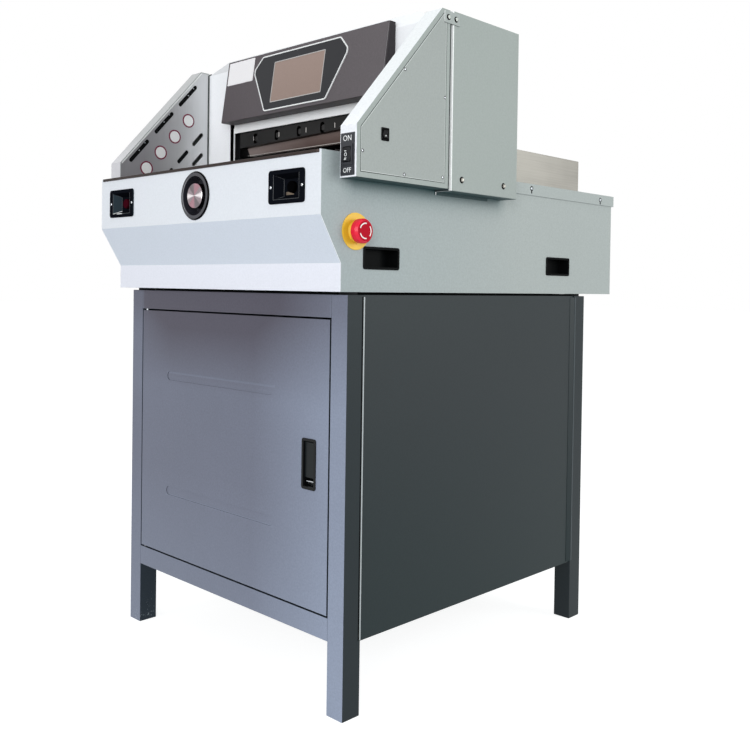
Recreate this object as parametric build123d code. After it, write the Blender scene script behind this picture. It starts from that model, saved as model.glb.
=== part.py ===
from build123d import *
from math import atan2, cos, degrees, hypot, radians, sin
import os

# An electric paper cutter: a guillotine with its table body on a cabinet stand.
# Millimetres, +Z up, front towards -Y. The origin is the middle of the footprint on the floor.

# Sheet, fits and cuts
sheet = 2.0
thin_sheet = 1.5
seat_gap = 0.3
running_fit = 0.05
overrun = 5.0

# Machine body: the folded sheet case that carries the tables
body_width = 680.0
body_depth = 863.0
body_height = 216.4
upper_face_height = 96.3
lower_face_height = 46.0
lower_face_setback = 43.6
fascia_flange = 26.0
table_lip = 2.2
lid_lap = 6.0

# Stand
stand_width = 655.0
stand_depth = 695.0
stand_height = 688.0
stand_shift = 15.4
stand_setback = 58.0
leg_size = 38.0
tube_wall = 2.0
lower_rail_height = 121.4
side_rail_width = 30.0
panel_inset = 3.0
pad_height = 4.6
pad_radius = 15.0

# Cabinet door with its flush handle
door_gap = 3.0
door_depth = 18.0
hinge_offset = 6.0
hinge_pin_radius = 2.5
hinge_pin_length = 14.0
door_rib_height = 17.0
door_rib_length = 340.0
door_rib_depth = 1.0
door_rib_drop = 128.0
handle_width = 35.5
handle_height = 85.4
handle_edge_inset = 30.0
handle_lip = 1.5
handle_rim = 4.5
handle_cup_depth = 16.0
paddle_height = 58.0
paddle_thickness = 3.0
paddle_pin_radius = 2.0

# Front and rear tables, rear lid and cutting stick
table_thickness = 5.0
table_corner = 6.0
throat_width = 491.0
stick_size = 10.0
stick_groove_width = 1.6
stick_groove_depth = 1.0
rear_table_width = 600.0
gauge_slot_width = 20.0
lid_side_lap = 2.2
lid_flange = 22.7

# Carry handles, flush in both sides
carry_length = 84.4
carry_height = 37.4
carry_rise = 55.9
carry_front_place = 135.8
carry_spacing = 518.0
carry_rim = 4.2
carry_depth = 22.0
carry_lip = 1.5

# Recess plates with the two cut buttons
controls_drop = 48.0
button_plate_width = 91.0
button_plate_height = 55.0
button_plate_place = 258.5
button_plate_lip = 2.0
recess_width = 65.0
recess_height = 41.0
recess_depth = 16.0
recess_side_taper = 9.0
recess_level_taper = 6.5
recess_wall = 2.0
button_radius = 9.5
button_stand_out = 7.0
button_edge = 1.5
button_travel = 4.0

# Dial
dial_radius = 44.0
dial_ring_width = 8.5
dial_lip = 3.0
dial_edge = 2.0
dial_cup_depth = 24.0
knob_radius = 22.5
knob_length = 17.0
knob_edge = 1.5
dial_shaft_radius = 5.0
dial_shaft_length = 22.0

# Emergency stop
estop_place = 75.8
estop_rise = 97.6
legend_radius = 30.0
legend_thickness = 1.5
collar_radius = 17.0
collar_taper = 2.0
collar_height = 3.3
stem_radius = 8.0
stem_nose_radius = 5.0
stem_depth = 20.0
mushroom_radius = 20.0
mushroom_stand_off = 9.5
mushroom_height = 14.0
mushroom_skirt = 3.4
mushroom_hollow = 5.5
mushroom_edge = 4.0
estop_travel = 4.5

# Portal: the upper housing across the table
portal_setback = 260.0
portal_depth = 196.5
portal_height = 263.8
cap_height = 25.8
cap_side_inset = 52.0
cap_front_inset = 16.0
throat_side_gap = 13.5
throat_top_height = 151.0
throat_rear_height = 70.0
guard_bar_drop = 3.3
guard_bar_height = 14.7
guard_bar_depth = 3.8
guard_tab_height = 30.0
guard_tab_thickness = 2.0
guard_arm_width = 2.5
guard_corner_height = 4.9
guard_corner_length = 9.8
portal_side_rim = 33.0

# Side covers in front of the portal
cover_width = 37.0
cover_setback = 40.7
cover_drop = 36.6
cover_front_height = 82.2
cover_height = 305.8
cover_top_length = 21.5
cover_portal_gap = 1.1
hatch_margin = 8.5
hatch_seat = 6.0
hatch_gap = 0.8
slope_slot_length = 67.0
slope_slot_count = 3
slope_slot_spacing = 90.0
slope_slot_shift = 7.5
slope_slot_inset = 13.5
slot_width = 8.8
low_slot_length = 39.0
low_slot_spacing = 57.4
low_slot_rise = 71.75
low_slot_row_gap = 45.1
low_slot_counts = (3, 2)

# Side covers beside the portal
rear_cover_gap = 6.4
rear_cover_drop = 39.3
rear_cover_height = 309.6
rear_cover_flange = 5.0
rear_cover_flange_end = 42.0
link_length = 40.0
link_screw_spacing = 20.0
link_height = 20.4
link_thickness = 1.5
link_drop = 2.7
screw_head_radius = 3.2
screw_head_height = 1.6
nut_radius = 4.0
nut_height = 3.2
nut_rise = 21.3
nut_front_inset = 29.7
nut_rear_inset = 40.2

# Power switches
label_width = 31.5
label_height = 66.7
label_rise = 2.6
label_thickness = 0.8
label_edge = 1.7
rocker_frame_width = 25.0
rocker_frame_height = 32.7
rocker_frame_rise = 35.6
rocker_frame_lip = 1.6
rocker_width = 18.0
rocker_height = 24.0
rocker_crown = 2.4
rocker_taper = 1.2
rocker_depth = 9.0
rocker_root_share = 0.33
rocker_pin_inset = 2.25
rocker_pin_radius = 1.5
side_rocker_frame_width = 16.5
side_rocker_frame_height = 20.8
side_rocker_width = 10.0
side_rocker_height = 14.0
side_rocker_place = 62.1
side_rocker_rise = 72.9

# Control panel
panel_width = 491.0
panel_rise = 137.0
panel_height = 133.0
panel_base_depth = 35.2
panel_top_depth = 15.8
panel_edge = 3.0
bezel_top_width = 236.0
bezel_middle_width = 280.0
bezel_base_width = 186.0
bezel_base_rise = 9.3
bezel_middle_rise = 92.5
bezel_shoulder_rise = 9.0
bezel_height = 115.0
bezel_thickness = 1.2
bezel_corner = 6.0
screen_width = 155.0
screen_height = 84.4
screen_rise = 24.2

# Gauge hood
hood_width = 620.0
hood_length = 317.0
hood_height = 71.0

# Machine frame
cut_setback = 28.4
upright_inner = 262.0
upright_width = 38.0
upright_height = 251.0
upright_depth = 153.7
beam_rise = 147.0
beam_height = 104.0
beam_depth = 83.7
bridge_depth = 58.7
bridge_height = 69.0
base_plate_thickness = 20.0
base_plate_reach = 130.0
base_plate_start = 23.7
base_plate_length = 300.0
roller_place = 150.0
roller_radius = 9.0
roller_rise = 14.0

# Knife: it travels down and to the left
knife_drop = 69.7
knife_shift = 36.0
blade_length = 510.0
blade_height = 68.0
blade_thickness = 9.0
blade_bevel = 20.0
blade_rest_rise = 69.4
blade_left_share = 0.4365
carrier_thickness = 14.0
carrier_lap = 6.4
carrier_show_left = 16.6
carrier_show_right = 28.0
carrier_height = 176.0
bolt_count = 7
bolt_spacing = 72.0
bolt_first_inset = 54.0
bolt_rise = 33.0
bolt_head_radius = 6.0
bolt_head_height = 6.5
bolt_radius = 4.0
bolt_slot_width = 13.4
bolt_slot_height = 22.0
bolt_slot_depth = 9.0
bolt_end_gap = 3.0
pull_bar_width = 18.0
pull_bar_top = 70.0
pull_head_width = 80.0
pull_head_height = 42.0
pull_slot_length = 68.0
pull_slot_height = 25.0

# Knife drive
lever_angle = 50.0
lever_width = 30.0
lever_thickness = 12.0
lever_shaft_radius = 10.0
lever_shaft_length = 40.0
lever_roller_radius = 10.0
lever_bias = 18.0
lever_floor_gap = 63.0
gearbox_width = 76.0
gearbox_length = 78.0
gearbox_height = 106.0
motor_radius = 42.0
motor_length = 160.0

# Clamp
clamp_depth = 54.0
clamp_height = 45.0
clamp_gap = 1.0
clamp_rest_rise = 71.0
clamp_travel = 68.0
spindle_radius = 8.0
spindle_seat = 30.0
spindle_reach = 98.0
spindle_room = 1.5
clamp_nut_radius = 28.0
clamp_nut_collar = 15.0

# Back gauge
gauge_width = 470.0
gauge_thickness = 20.0
gauge_height = 45.0
gauge_rear_room = 165.0
finger_count = 9
finger_width = 12.0
finger_reach = 30.0
finger_height = 34.0
finger_play = 1.5
nut_block_width = 170.0
nut_block_length = 34.0
nut_block_height = 38.0
gauge_axis_drop = 34.0
lead_screw_radius = 8.0
journal_radius = 6.0
rail_radius = 8.0
rail_spacing = 120.0
bracket_thickness = 8.0
bracket_height = 50.0
rail_rear_room = 84.6
gauge_motor_size = 56.0
gauge_motor_length = 60.0
journal_reach = 20.0

# Places that follow from the sizes above
overall_depth = dial_lip + body_depth + lid_lap
fascia_y = dial_lip - overall_depth / 2
body_rear_y = fascia_y + body_depth
body_half = body_width / 2
body_bottom_z = stand_height + pad_height
body_top_z = body_bottom_z + body_height
fold_top_z = body_top_z - upper_face_height
fold_low_z = body_bottom_z + lower_face_height
lower_face_y = fascia_y + lower_face_setback
table_z = body_top_z + table_thickness
stand_left = stand_shift - stand_width / 2
stand_right = stand_shift + stand_width / 2
stand_front = fascia_y + stand_setback
stand_rear = stand_front + stand_depth
portal_y = fascia_y + portal_setback
portal_rear_y = portal_y + portal_depth
portal_top_z = body_top_z + portal_height
cut_y = portal_y + cut_setback
controls_z = body_top_z - controls_drop


def block(x0, x1, y0, y1, z0, z1):
    """A box between two corners."""
    middle = Pos((x0 + x1) / 2, (y0 + y1) / 2, (z0 + z1) / 2)
    return middle * Box(x1 - x0, y1 - y0, z1 - z0)


def side_form(outline, x0, x1):
    """A solid whose outline is given as (y, z) points, between two X places."""
    face = make_face(Polyline(*outline, close=True))
    return extrude(Plane.YZ.offset(x0) * face, x1 - x0)


def front_form(outline, y0, y1):
    """A solid whose outline is given as (x, z) points, between two Y places."""
    face = make_face(Polyline(*outline, close=True))
    return extrude(Plane.XZ.offset(-y0) * face, y0 - y1)


def rod_x(y, z, x0, x1, radius):
    return Pos((x0 + x1) / 2, y, z) * Rot(0, 90, 0) * Cylinder(radius, x1 - x0)


def rod_y(x, z, y0, y1, radius):
    return Pos(x, (y0 + y1) / 2, z) * Rot(90, 0, 0) * Cylinder(radius, y1 - y0)


def rod_z(x, y, z0, z1, radius):
    return Pos(x, y, (z0 + z1) / 2) * Cylinder(radius, z1 - z0)


def front_plate(x, z, width, height, y0, y1, corner):
    """A plate that faces the front, with rounded corners."""
    face = Pos(x, z) * RectangleRounded(width, height, corner)
    return extrude(Plane.XZ.offset(-y0) * face, y0 - y1)


def side_plate(y, z, length, height, x0, x1, corner):
    """A plate that faces the side, with rounded corners."""
    face = Pos(y, z) * RectangleRounded(length, height, corner)
    return extrude(Plane.YZ.offset(x0) * face, x1 - x0)


def front_slot(x, z, length, width, angle, y0, y1):
    """A round-ended slot through a piece that faces the front; length is over all."""
    face = Pos(x, z) * Rot(0, 0, angle) * SlotOverall(length, width)
    return extrude(Plane.XZ.offset(-y0) * face, y0 - y1)


def side_slot(y, z, length, width, angle, x0, x1):
    """A round-ended slot through a piece that faces the side; length is over all."""
    face = Pos(y, z) * Rot(0, 0, angle) * SlotOverall(length, width)
    return extrude(Plane.YZ.offset(x0) * face, x1 - x0)


def mirrored(shape):
    return mirror(shape, Plane.YZ)


def tube(x0, x1, y0, y1, z0, z1, along):
    """A hollow rectangular tube, open at both ends along one axis."""
    t = [tube_wall, tube_wall, tube_wall]
    t["XYZ".index(along)] = -overrun
    return block(x0, x1, y0, y1, z0, z1) - block(
        x0 + t[0], x1 - t[0], y0 + t[1], y1 - t[1], z0 + t[2], z1 - t[2]
    )


parts = {}


# Stand: legs and rails
def make_stand():
    low = lower_rail_height
    high = stand_height - leg_size
    left = (stand_left, stand_left + leg_size)
    right = (stand_right - leg_size, stand_right)
    front = (stand_front, stand_front + leg_size)
    rear = (stand_rear - leg_size, stand_rear)
    legs = []
    for x in (left, right):
        for y in (front, rear):
            hollow = block(
                x[0] + tube_wall,
                x[1] - tube_wall,
                y[0] + tube_wall,
                y[1] - tube_wall,
                -overrun,
                stand_height - tube_wall,
            )
            legs.append(block(*x, *y, 0, stand_height) - hollow)
    parts["stand_legs"] = Compound(legs)
    skin = panel_inset + thin_sheet
    side_rails = (
        (stand_left + skin, stand_left + skin + side_rail_width),
        (stand_right - skin - side_rail_width, stand_right - skin),
    )
    rear_rail = (stand_rear - skin - side_rail_width, stand_rear - skin)
    rails = []
    for z in (low, high):
        span = (z, z + leg_size)
        rails.append(tube(left[1], right[0], *front, *span, "X"))
        rails.append(tube(left[1], right[0], *rear_rail, *span, "X"))
        rails += [tube(*x, front[1], rear[0], *span, "Y") for x in side_rails]
    parts["stand_rails"] = Compound(rails)
    outer = (stand_left + panel_inset, stand_right - panel_inset)
    parts["left_cabinet_panel"] = block(
        outer[0], outer[0] + thin_sheet, front[1], rear[0], low, stand_height
    )
    parts["right_cabinet_panel"] = block(
        outer[1] - thin_sheet, outer[1], front[1], rear[0], low, stand_height
    )
    rear_skin = stand_rear - panel_inset
    parts["rear_cabinet_panel"] = block(
        left[1], right[0], rear_skin - thin_sheet, rear_skin, low, stand_height
    )
    floor_z = low + leg_size
    parts["cabinet_floor"] = block(
        outer[0] + thin_sheet, outer[1] - thin_sheet, front[1], rear[0], floor_z, floor_z + thin_sheet
    )
    pads = [
        rod_z(sum(x) / 2, sum(y) / 2, stand_height, body_bottom_z, pad_radius)
        for x in (left, right)
        for y in (front, rear)
    ]
    parts["body_pads"] = Compound(pads)


# Cabinet door: a formed pan with two pressed ribs, on two pins
door_left = stand_left + leg_size + door_gap
door_right = stand_right - leg_size - door_gap
door_low = lower_rail_height + leg_size + door_gap
door_high = stand_height - leg_size - door_gap
door_mid_z = (door_low + door_high) / 2
hinge_x = door_left + hinge_offset
hinge_y = stand_front + hinge_offset
handle_x = door_right - handle_edge_inset - handle_width / 2


def make_door():
    pan = block(door_left, door_right, stand_front, stand_front + door_depth, door_low, door_high)
    pan -= block(
        door_left + thin_sheet,
        door_right - thin_sheet,
        stand_front + sheet,
        stand_front + door_depth + overrun,
        door_low + thin_sheet,
        door_high - thin_sheet,
    )
    rib_x = (door_left + handle_x) / 2
    for rib_z in (door_high - door_rib_drop, door_low + door_rib_drop):
        pan -= front_slot(
            rib_x,
            rib_z,
            door_rib_length,
            door_rib_height,
            0,
            stand_front - overrun,
            stand_front + door_rib_depth,
        )
    pan -= block(
        handle_x - handle_width / 2 + handle_rim - thin_sheet - seat_gap,
        handle_x + handle_width / 2 - handle_rim + thin_sheet + seat_gap,
        stand_front - overrun,
        stand_front + sheet + overrun,
        door_mid_z - handle_height / 2 + handle_rim - thin_sheet - seat_gap,
        door_mid_z + handle_height / 2 - handle_rim + thin_sheet + seat_gap,
    )
    hole = hinge_pin_radius + running_fit
    pan -= rod_z(hinge_x, hinge_y, door_low - overrun, door_high + overrun, hole)
    parts["cabinet_door"] = pan
    foot = door_low - door_gap
    head = door_high + door_gap
    pins = [
        rod_z(hinge_x, hinge_y, foot, foot + hinge_pin_length, hinge_pin_radius),
        rod_z(hinge_x, hinge_y, head - hinge_pin_length, head, hinge_pin_radius),
    ]
    parts["door_hinge_pins"] = Compound(pins)


paddle_pin_z = door_mid_z + handle_height / 2 - handle_rim - paddle_pin_radius - thin_sheet
paddle_y = stand_front + paddle_pin_radius + thin_sheet


def make_door_handle():
    inner_w = handle_width - 2 * handle_rim
    inner_h = handle_height - 2 * handle_rim
    cup = front_plate(
        handle_x, door_mid_z, handle_width, handle_height, stand_front - handle_lip, stand_front, handle_rim
    )
    cup += block(
        handle_x - inner_w / 2 - thin_sheet,
        handle_x + inner_w / 2 + thin_sheet,
        stand_front - handle_lip,
        stand_front + handle_cup_depth,
        door_mid_z - inner_h / 2 - thin_sheet,
        door_mid_z + inner_h / 2 + thin_sheet,
    )
    cup -= block(
        handle_x - inner_w / 2,
        handle_x + inner_w / 2,
        stand_front - handle_lip - overrun,
        stand_front + handle_cup_depth - thin_sheet,
        door_mid_z - inner_h / 2,
        door_mid_z + inner_h / 2,
    )
    pin_half = inner_w / 2 + thin_sheet
    cup -= rod_x(
        paddle_y, paddle_pin_z, handle_x - pin_half - overrun, handle_x + pin_half + overrun,
        paddle_pin_radius + running_fit,
    )
    parts["door_handle_cup"] = cup
    half = inner_w / 2 - seat_gap
    paddle = block(
        handle_x - half,
        handle_x + half,
        paddle_y - paddle_thickness / 2,
        paddle_y + paddle_thickness / 2,
        paddle_pin_z - paddle_height,
        paddle_pin_z,
    )
    paddle += rod_x(paddle_y, paddle_pin_z, handle_x - pin_half, handle_x + pin_half, paddle_pin_radius)
    parts["door_latch_paddle"] = paddle


# Machine body: fascia, side plates, rear plate and bottom pan
def make_body():
    ear = body_half - (table_thickness - thin_sheet)
    outer = [
        (fascia_y, table_z),
        (fascia_y, fold_top_z),
        (lower_face_y, fold_low_z),
        (lower_face_y, body_bottom_z),
    ]
    inner = [(y + sheet, z) for y, z in reversed(outer)]
    fascia = side_form(outer + inner, -body_half, body_half)
    fascia -= block(
        -ear, ear, fascia_y - overrun, fascia_y + sheet + overrun, body_top_z, table_z + overrun
    )
    fascia += block(
        -ear, ear, fascia_y + sheet, fascia_y + sheet + fascia_flange, body_top_z - sheet, body_top_z
    )
    for side in (-1, 1):
        fascia -= block(
            side * button_plate_place - recess_width / 2 - recess_wall - seat_gap,
            side * button_plate_place + recess_width / 2 + recess_wall + seat_gap,
            fascia_y - overrun,
            fascia_y + sheet + overrun,
            controls_z - recess_height / 2 - recess_wall - seat_gap,
            controls_z + recess_height / 2 + recess_wall + seat_gap,
        )
    dial_hole = dial_radius - dial_ring_width + recess_wall + seat_gap
    fascia -= rod_y(0, controls_z, fascia_y - overrun, fascia_y + sheet + overrun, dial_hole)
    parts["front_fascia"] = fascia

    outline = [
        (fascia_y + sheet, table_z),
        (fascia_y + sheet, fold_top_z),
        (lower_face_y + sheet, fold_low_z),
        (lower_face_y + sheet, body_bottom_z),
        (body_rear_y, body_bottom_z),
        (body_rear_y, body_top_z),
        (portal_y, body_top_z),
        (portal_y, table_z),
    ]
    side = side_form(outline, body_half - sheet, body_half)
    for y in (carry_y(0), carry_y(1)):
        side -= block(
            body_half - sheet - overrun,
            body_half + overrun,
            y - carry_length / 2 + carry_rim - sheet - seat_gap,
            y + carry_length / 2 - carry_rim + sheet + seat_gap,
            carry_z - carry_height / 2 + carry_rim - sheet - seat_gap,
            carry_z + carry_height / 2 - carry_rim + sheet + seat_gap,
        )
    parts["left_side_plate"] = mirrored(side)
    stem_hole = stem_radius + running_fit
    parts["right_side_plate"] = side - rod_x(
        estop_y, estop_z, body_half - sheet - overrun, body_half + overrun, stem_hole
    )
    inside = body_half - sheet
    parts["rear_plate"] = block(
        -inside, inside, body_rear_y - sheet, body_rear_y, body_bottom_z + sheet, body_top_z
    )
    parts["bottom_pan"] = block(
        -inside, inside, lower_face_y + sheet, body_rear_y, body_bottom_z, body_bottom_z + sheet
    )


carry_z = body_bottom_z + carry_rise
estop_y = fascia_y + estop_place
estop_z = body_bottom_z + estop_rise


def carry_y(index):
    return fascia_y + carry_front_place + index * carry_spacing


def make_carry_handles():
    cups = []
    for index in (0, 1):
        y = carry_y(index)
        cup = side_plate(
            y, carry_z, carry_length, carry_height, body_half, body_half + carry_lip, carry_rim
        )
        long = carry_length / 2 - carry_rim
        tall = carry_height / 2 - carry_rim
        cup += block(
            body_half - carry_depth,
            body_half + carry_lip,
            y - long - sheet,
            y + long + sheet,
            carry_z - tall - sheet,
            carry_z + tall + sheet,
        )
        cup -= block(
            body_half - carry_depth + sheet,
            body_half + carry_lip + overrun,
            y - long,
            y + long,
            carry_z - tall,
            carry_z + tall,
        )
        cups += [cup, mirrored(cup)]
    parts["carry_handles"] = Compound(cups)


# Tables, rear lid and cutting stick
stick_front = cut_y - stick_size / 2
stick_rear = cut_y + stick_size / 2
rear_table_bottom = body_top_z + thin_sheet
hood_rear_y = portal_rear_y + seat_gap + hood_length
slot_front = cut_y + clamp_gap + clamp_depth + overrun
slot_rear = hood_rear_y - sheet - overrun


def make_tables():
    half = body_half - (table_thickness - thin_sheet) - seat_gap
    throat = throat_width / 2
    front = block(-half, half, fascia_y - table_lip, portal_y - seat_gap, body_top_z, table_z)
    corners = front.edges().filter_by(Axis.Z).sort_by(Axis.Y)[:2]
    front = fillet(corners, table_corner)
    front += block(-throat, throat, portal_y - seat_gap, stick_front - seat_gap, body_top_z, table_z)
    parts["front_table"] = front
    wide = rear_table_width / 2
    rear = block(-throat, throat, stick_rear + seat_gap, portal_rear_y, rear_table_bottom, table_z)
    rear += block(-wide, wide, portal_rear_y, hood_rear_y - sheet - seat_gap, rear_table_bottom, table_z)
    slot = gauge_slot_width / 2
    rear -= block(-slot, slot, slot_front, slot_rear, rear_table_bottom - overrun, table_z + overrun)
    parts["rear_table"] = rear
    stick = block(-throat, throat, stick_front, stick_rear, table_z - stick_size, table_z)
    stick -= block(
        -throat - overrun,
        throat + overrun,
        cut_y - stick_groove_width / 2,
        cut_y + stick_groove_width / 2,
        table_z - stick_groove_depth,
        table_z + overrun,
    )
    parts["cutting_stick"] = stick
    lid_half = body_half + lid_side_lap
    lid_rear = body_rear_y + lid_lap
    lid_front = portal_rear_y + seat_gap
    lid = block(
        -lid_half, lid_half, lid_front, lid_rear, rear_table_bottom - lid_flange, rear_table_bottom
    )
    lid -= block(
        -lid_half + thin_sheet,
        lid_half - thin_sheet,
        lid_front - overrun,
        lid_rear - thin_sheet,
        rear_table_bottom - lid_flange - overrun,
        body_top_z,
    )
    lid -= block(
        -slot - sheet, slot + sheet, lid_front - overrun, slot_rear + sheet, body_top_z - overrun, table_z
    )
    parts["rear_lid"] = lid


# Recess plates and cut buttons
recess_floor_y = fascia_y - button_plate_lip + recess_depth


def make_cut_buttons():
    plates = []
    for side, name in ((-1, "left_cut_button"), (1, "right_cut_button")):
        x = side * button_plate_place
        wide = recess_width / 2
        tall = recess_height / 2
        plate = front_plate(
            x, controls_z, button_plate_width, button_plate_height,
            fascia_y - button_plate_lip, fascia_y, table_corner,
        )
        plate += block(
            x - wide - recess_wall,
            x + wide + recess_wall,
            fascia_y - button_plate_lip,
            recess_floor_y + recess_wall,
            controls_z - tall - recess_wall,
            controls_z + tall + recess_wall,
        )
        mouth = Pos(x, controls_z) * Rectangle(recess_width, recess_height)
        floor = Pos(x, controls_z) * Rectangle(
            recess_width - 2 * recess_side_taper, recess_height - 2 * recess_level_taper
        )
        funnel = loft(
            [
                Plane.XZ.offset(button_plate_lip - fascia_y) * mouth,
                Plane.XZ.offset(-recess_floor_y) * floor,
            ]
        )
        plate -= funnel
        plate -= rod_y(
            x, controls_z, recess_floor_y - overrun, recess_floor_y + recess_wall + overrun,
            button_radius + running_fit,
        )
        plates.append(plate)
        face_y = recess_floor_y - button_stand_out
        button = rod_y(
            x, controls_z, face_y, recess_floor_y + recess_wall + button_travel, button_radius
        )
        rim = button.edges().filter_by(GeomType.CIRCLE).sort_by(Axis.Y)[0]
        parts[name] = chamfer(rim, button_edge)
    parts["button_plates"] = Compound(plates)


# Dial: ring with a deep cup, and the knob on its shaft
def make_dial():
    cup_r = dial_radius - dial_ring_width
    ring = rod_y(0, controls_z, fascia_y - dial_lip, fascia_y, dial_radius)
    rim = ring.edges().filter_by(GeomType.CIRCLE).sort_by(Axis.Y)[0]
    ring = chamfer(rim, dial_edge)
    floor_y = fascia_y + dial_cup_depth
    ring += rod_y(0, controls_z, fascia_y - dial_lip, floor_y, cup_r + recess_wall)
    ring -= rod_y(0, controls_z, fascia_y - dial_lip - overrun, floor_y - recess_wall, cup_r)
    ring -= rod_y(0, controls_z, fascia_y, floor_y + overrun, dial_shaft_radius + running_fit)
    parts["dial_bezel"] = ring
    face_y = fascia_y - dial_lip + seat_gap
    knob = rod_y(0, controls_z, face_y, face_y + knob_length, knob_radius)
    knob = chamfer(knob.edges().filter_by(GeomType.CIRCLE).sort_by(Axis.Y)[0], knob_edge)
    knob += rod_y(
        0, controls_z, face_y + knob_length, face_y + knob_length + dial_shaft_length, dial_shaft_radius
    )
    parts["dial_knob"] = knob


# Emergency stop on the right side plate
def turned_x(profile, x, y, z):
    """A solid of revolution about an X axis, from (distance out, radius) points."""
    points = [(x + a, r) for a, r in profile]
    face = make_face(Polyline(*points, close=True))
    return Pos(0, y, z) * revolve(face, Axis.X)


def make_estop():
    bore = stem_radius + running_fit
    legend = turned_x(
        [
            (0, bore),
            (0, legend_radius),
            (legend_thickness, legend_radius),
            (legend_thickness, collar_radius),
            (legend_thickness + collar_height, collar_radius - collar_taper),
            (legend_thickness + collar_height, bore),
        ],
        body_half,
        estop_y,
        estop_z,
    )
    parts["estop_legend"] = legend
    shoulder = mushroom_stand_off + mushroom_hollow
    nose = shoulder + (mushroom_height - mushroom_hollow) / 2
    stem = turned_x(
        [
            (-stem_depth, 0),
            (-stem_depth, stem_radius),
            (shoulder, stem_radius),
            (shoulder, stem_nose_radius),
            (nose, stem_nose_radius),
            (nose, 0),
        ],
        body_half,
        estop_y,
        estop_z,
    )
    parts["estop_stem"] = stem
    top = mushroom_stand_off + mushroom_height
    head = turned_x(
        [
            (mushroom_stand_off, mushroom_radius),
            (top - mushroom_edge, mushroom_radius),
            (top, mushroom_radius - mushroom_edge),
            (top, 0),
            (nose + seat_gap, 0),
            (nose + seat_gap, stem_nose_radius + running_fit),
            (shoulder + seat_gap, stem_nose_radius + running_fit),
            (shoulder + seat_gap, mushroom_radius - mushroom_skirt),
            (mushroom_stand_off, mushroom_radius - mushroom_skirt),
        ],
        body_half,
        estop_y,
        estop_z,
    )
    parts["estop_mushroom"] = head


# Side covers in front of the portal, with guard and hatch plates
cover_front_y = fascia_y + cover_setback
cover_rear_y = portal_y - cover_portal_gap
cover_low_z = body_top_z - cover_drop
cover_high_z = cover_low_z + cover_height
slope_low = (cover_front_y, cover_low_z + cover_front_height)
slope_high = (cover_rear_y - cover_top_length, cover_high_z)
cover_outline = [
    (cover_front_y, cover_low_z),
    slope_low,
    slope_high,
    (cover_rear_y, cover_high_z),
    (cover_rear_y, cover_low_z),
]
cover_outer_x = body_half + cover_width


def cover_face(inset):
    face = make_face(Polyline(*cover_outline, close=True))
    if inset:
        face = offset(face, -inset, kind=Kind.INTERSECTION)
    return face


def cover_slab(inset, x0, x1):
    return extrude(Plane.YZ.offset(x0) * cover_face(inset), x1 - x0)


def make_front_covers():
    inner_x = cover_outer_x - thin_sheet
    shell = cover_slab(0, body_half, cover_outer_x) - cover_slab(thin_sheet, body_half, inner_x)
    shell -= cover_slab(hatch_margin, inner_x - overrun, cover_outer_x + overrun)
    seat = cover_slab(hatch_margin - thin_sheet, inner_x - thin_sheet, inner_x)
    shell += seat - cover_slab(hatch_margin + hatch_seat, inner_x - overrun, cover_outer_x)
    parts["right_front_cover"] = shell - rocker_recess()
    parts["left_front_cover"] = mirrored(shell)
    guard = cover_slab(thin_sheet + running_fit, body_half, body_half + thin_sheet)
    slope = atan2(slope_high[1] - slope_low[1], slope_high[0] - slope_low[0])
    along = (cos(slope), sin(slope))
    down = (sin(slope), -cos(slope))
    top_y = slope_high[0] + down[0] * slope_slot_inset
    top_z = slope_high[1] + down[1] * slope_slot_inset
    reach = hypot(slope_high[0] - slope_low[0], slope_high[1] - slope_low[1])
    slots = []
    first = reach / 2 - slope_slot_spacing + slope_slot_shift
    for index in range(slope_slot_count):
        back = first + index * slope_slot_spacing
        slots.append((top_y - along[0] * back, top_z - along[1] * back, slope_slot_length))
    rear_slot_y = cover_rear_y - low_slot_spacing / 2
    for row, count in enumerate(low_slot_counts):
        start_z = slope_low[1] + low_slot_rise - row * low_slot_row_gap
        for index in range(count):
            back = index * low_slot_spacing
            slots.append((rear_slot_y - along[0] * back, start_z - along[1] * back, low_slot_length))
    inside = body_half - overrun
    for y, z, length in slots:
        guard -= side_slot(y, z, length, slot_width, degrees(slope), inside, body_half + overrun)
    parts["guard_plates"] = Compound([guard, mirrored(guard)])
    hatch = cover_slab(hatch_margin + hatch_gap, inner_x, cover_outer_x)
    plain = mirrored(hatch)
    hole_w = side_rocker_frame_width - 2 * label_edge
    hole_h = side_rocker_frame_height - 2 * label_edge
    hatch -= block(
        inner_x - overrun,
        cover_outer_x + overrun,
        side_rocker_y - hole_w / 2,
        side_rocker_y + hole_w / 2,
        side_rocker_z - hole_h / 2,
        side_rocker_z + hole_h / 2,
    )
    parts["hatch_plates"] = Compound([hatch, plain])


# Side covers beside the portal, links, screws and nuts
rear_cover_y0 = cover_rear_y + cover_portal_gap + rear_cover_gap
rear_cover_low_z = body_top_z - rear_cover_drop
rear_cover_high_z = rear_cover_low_z + rear_cover_height


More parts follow.
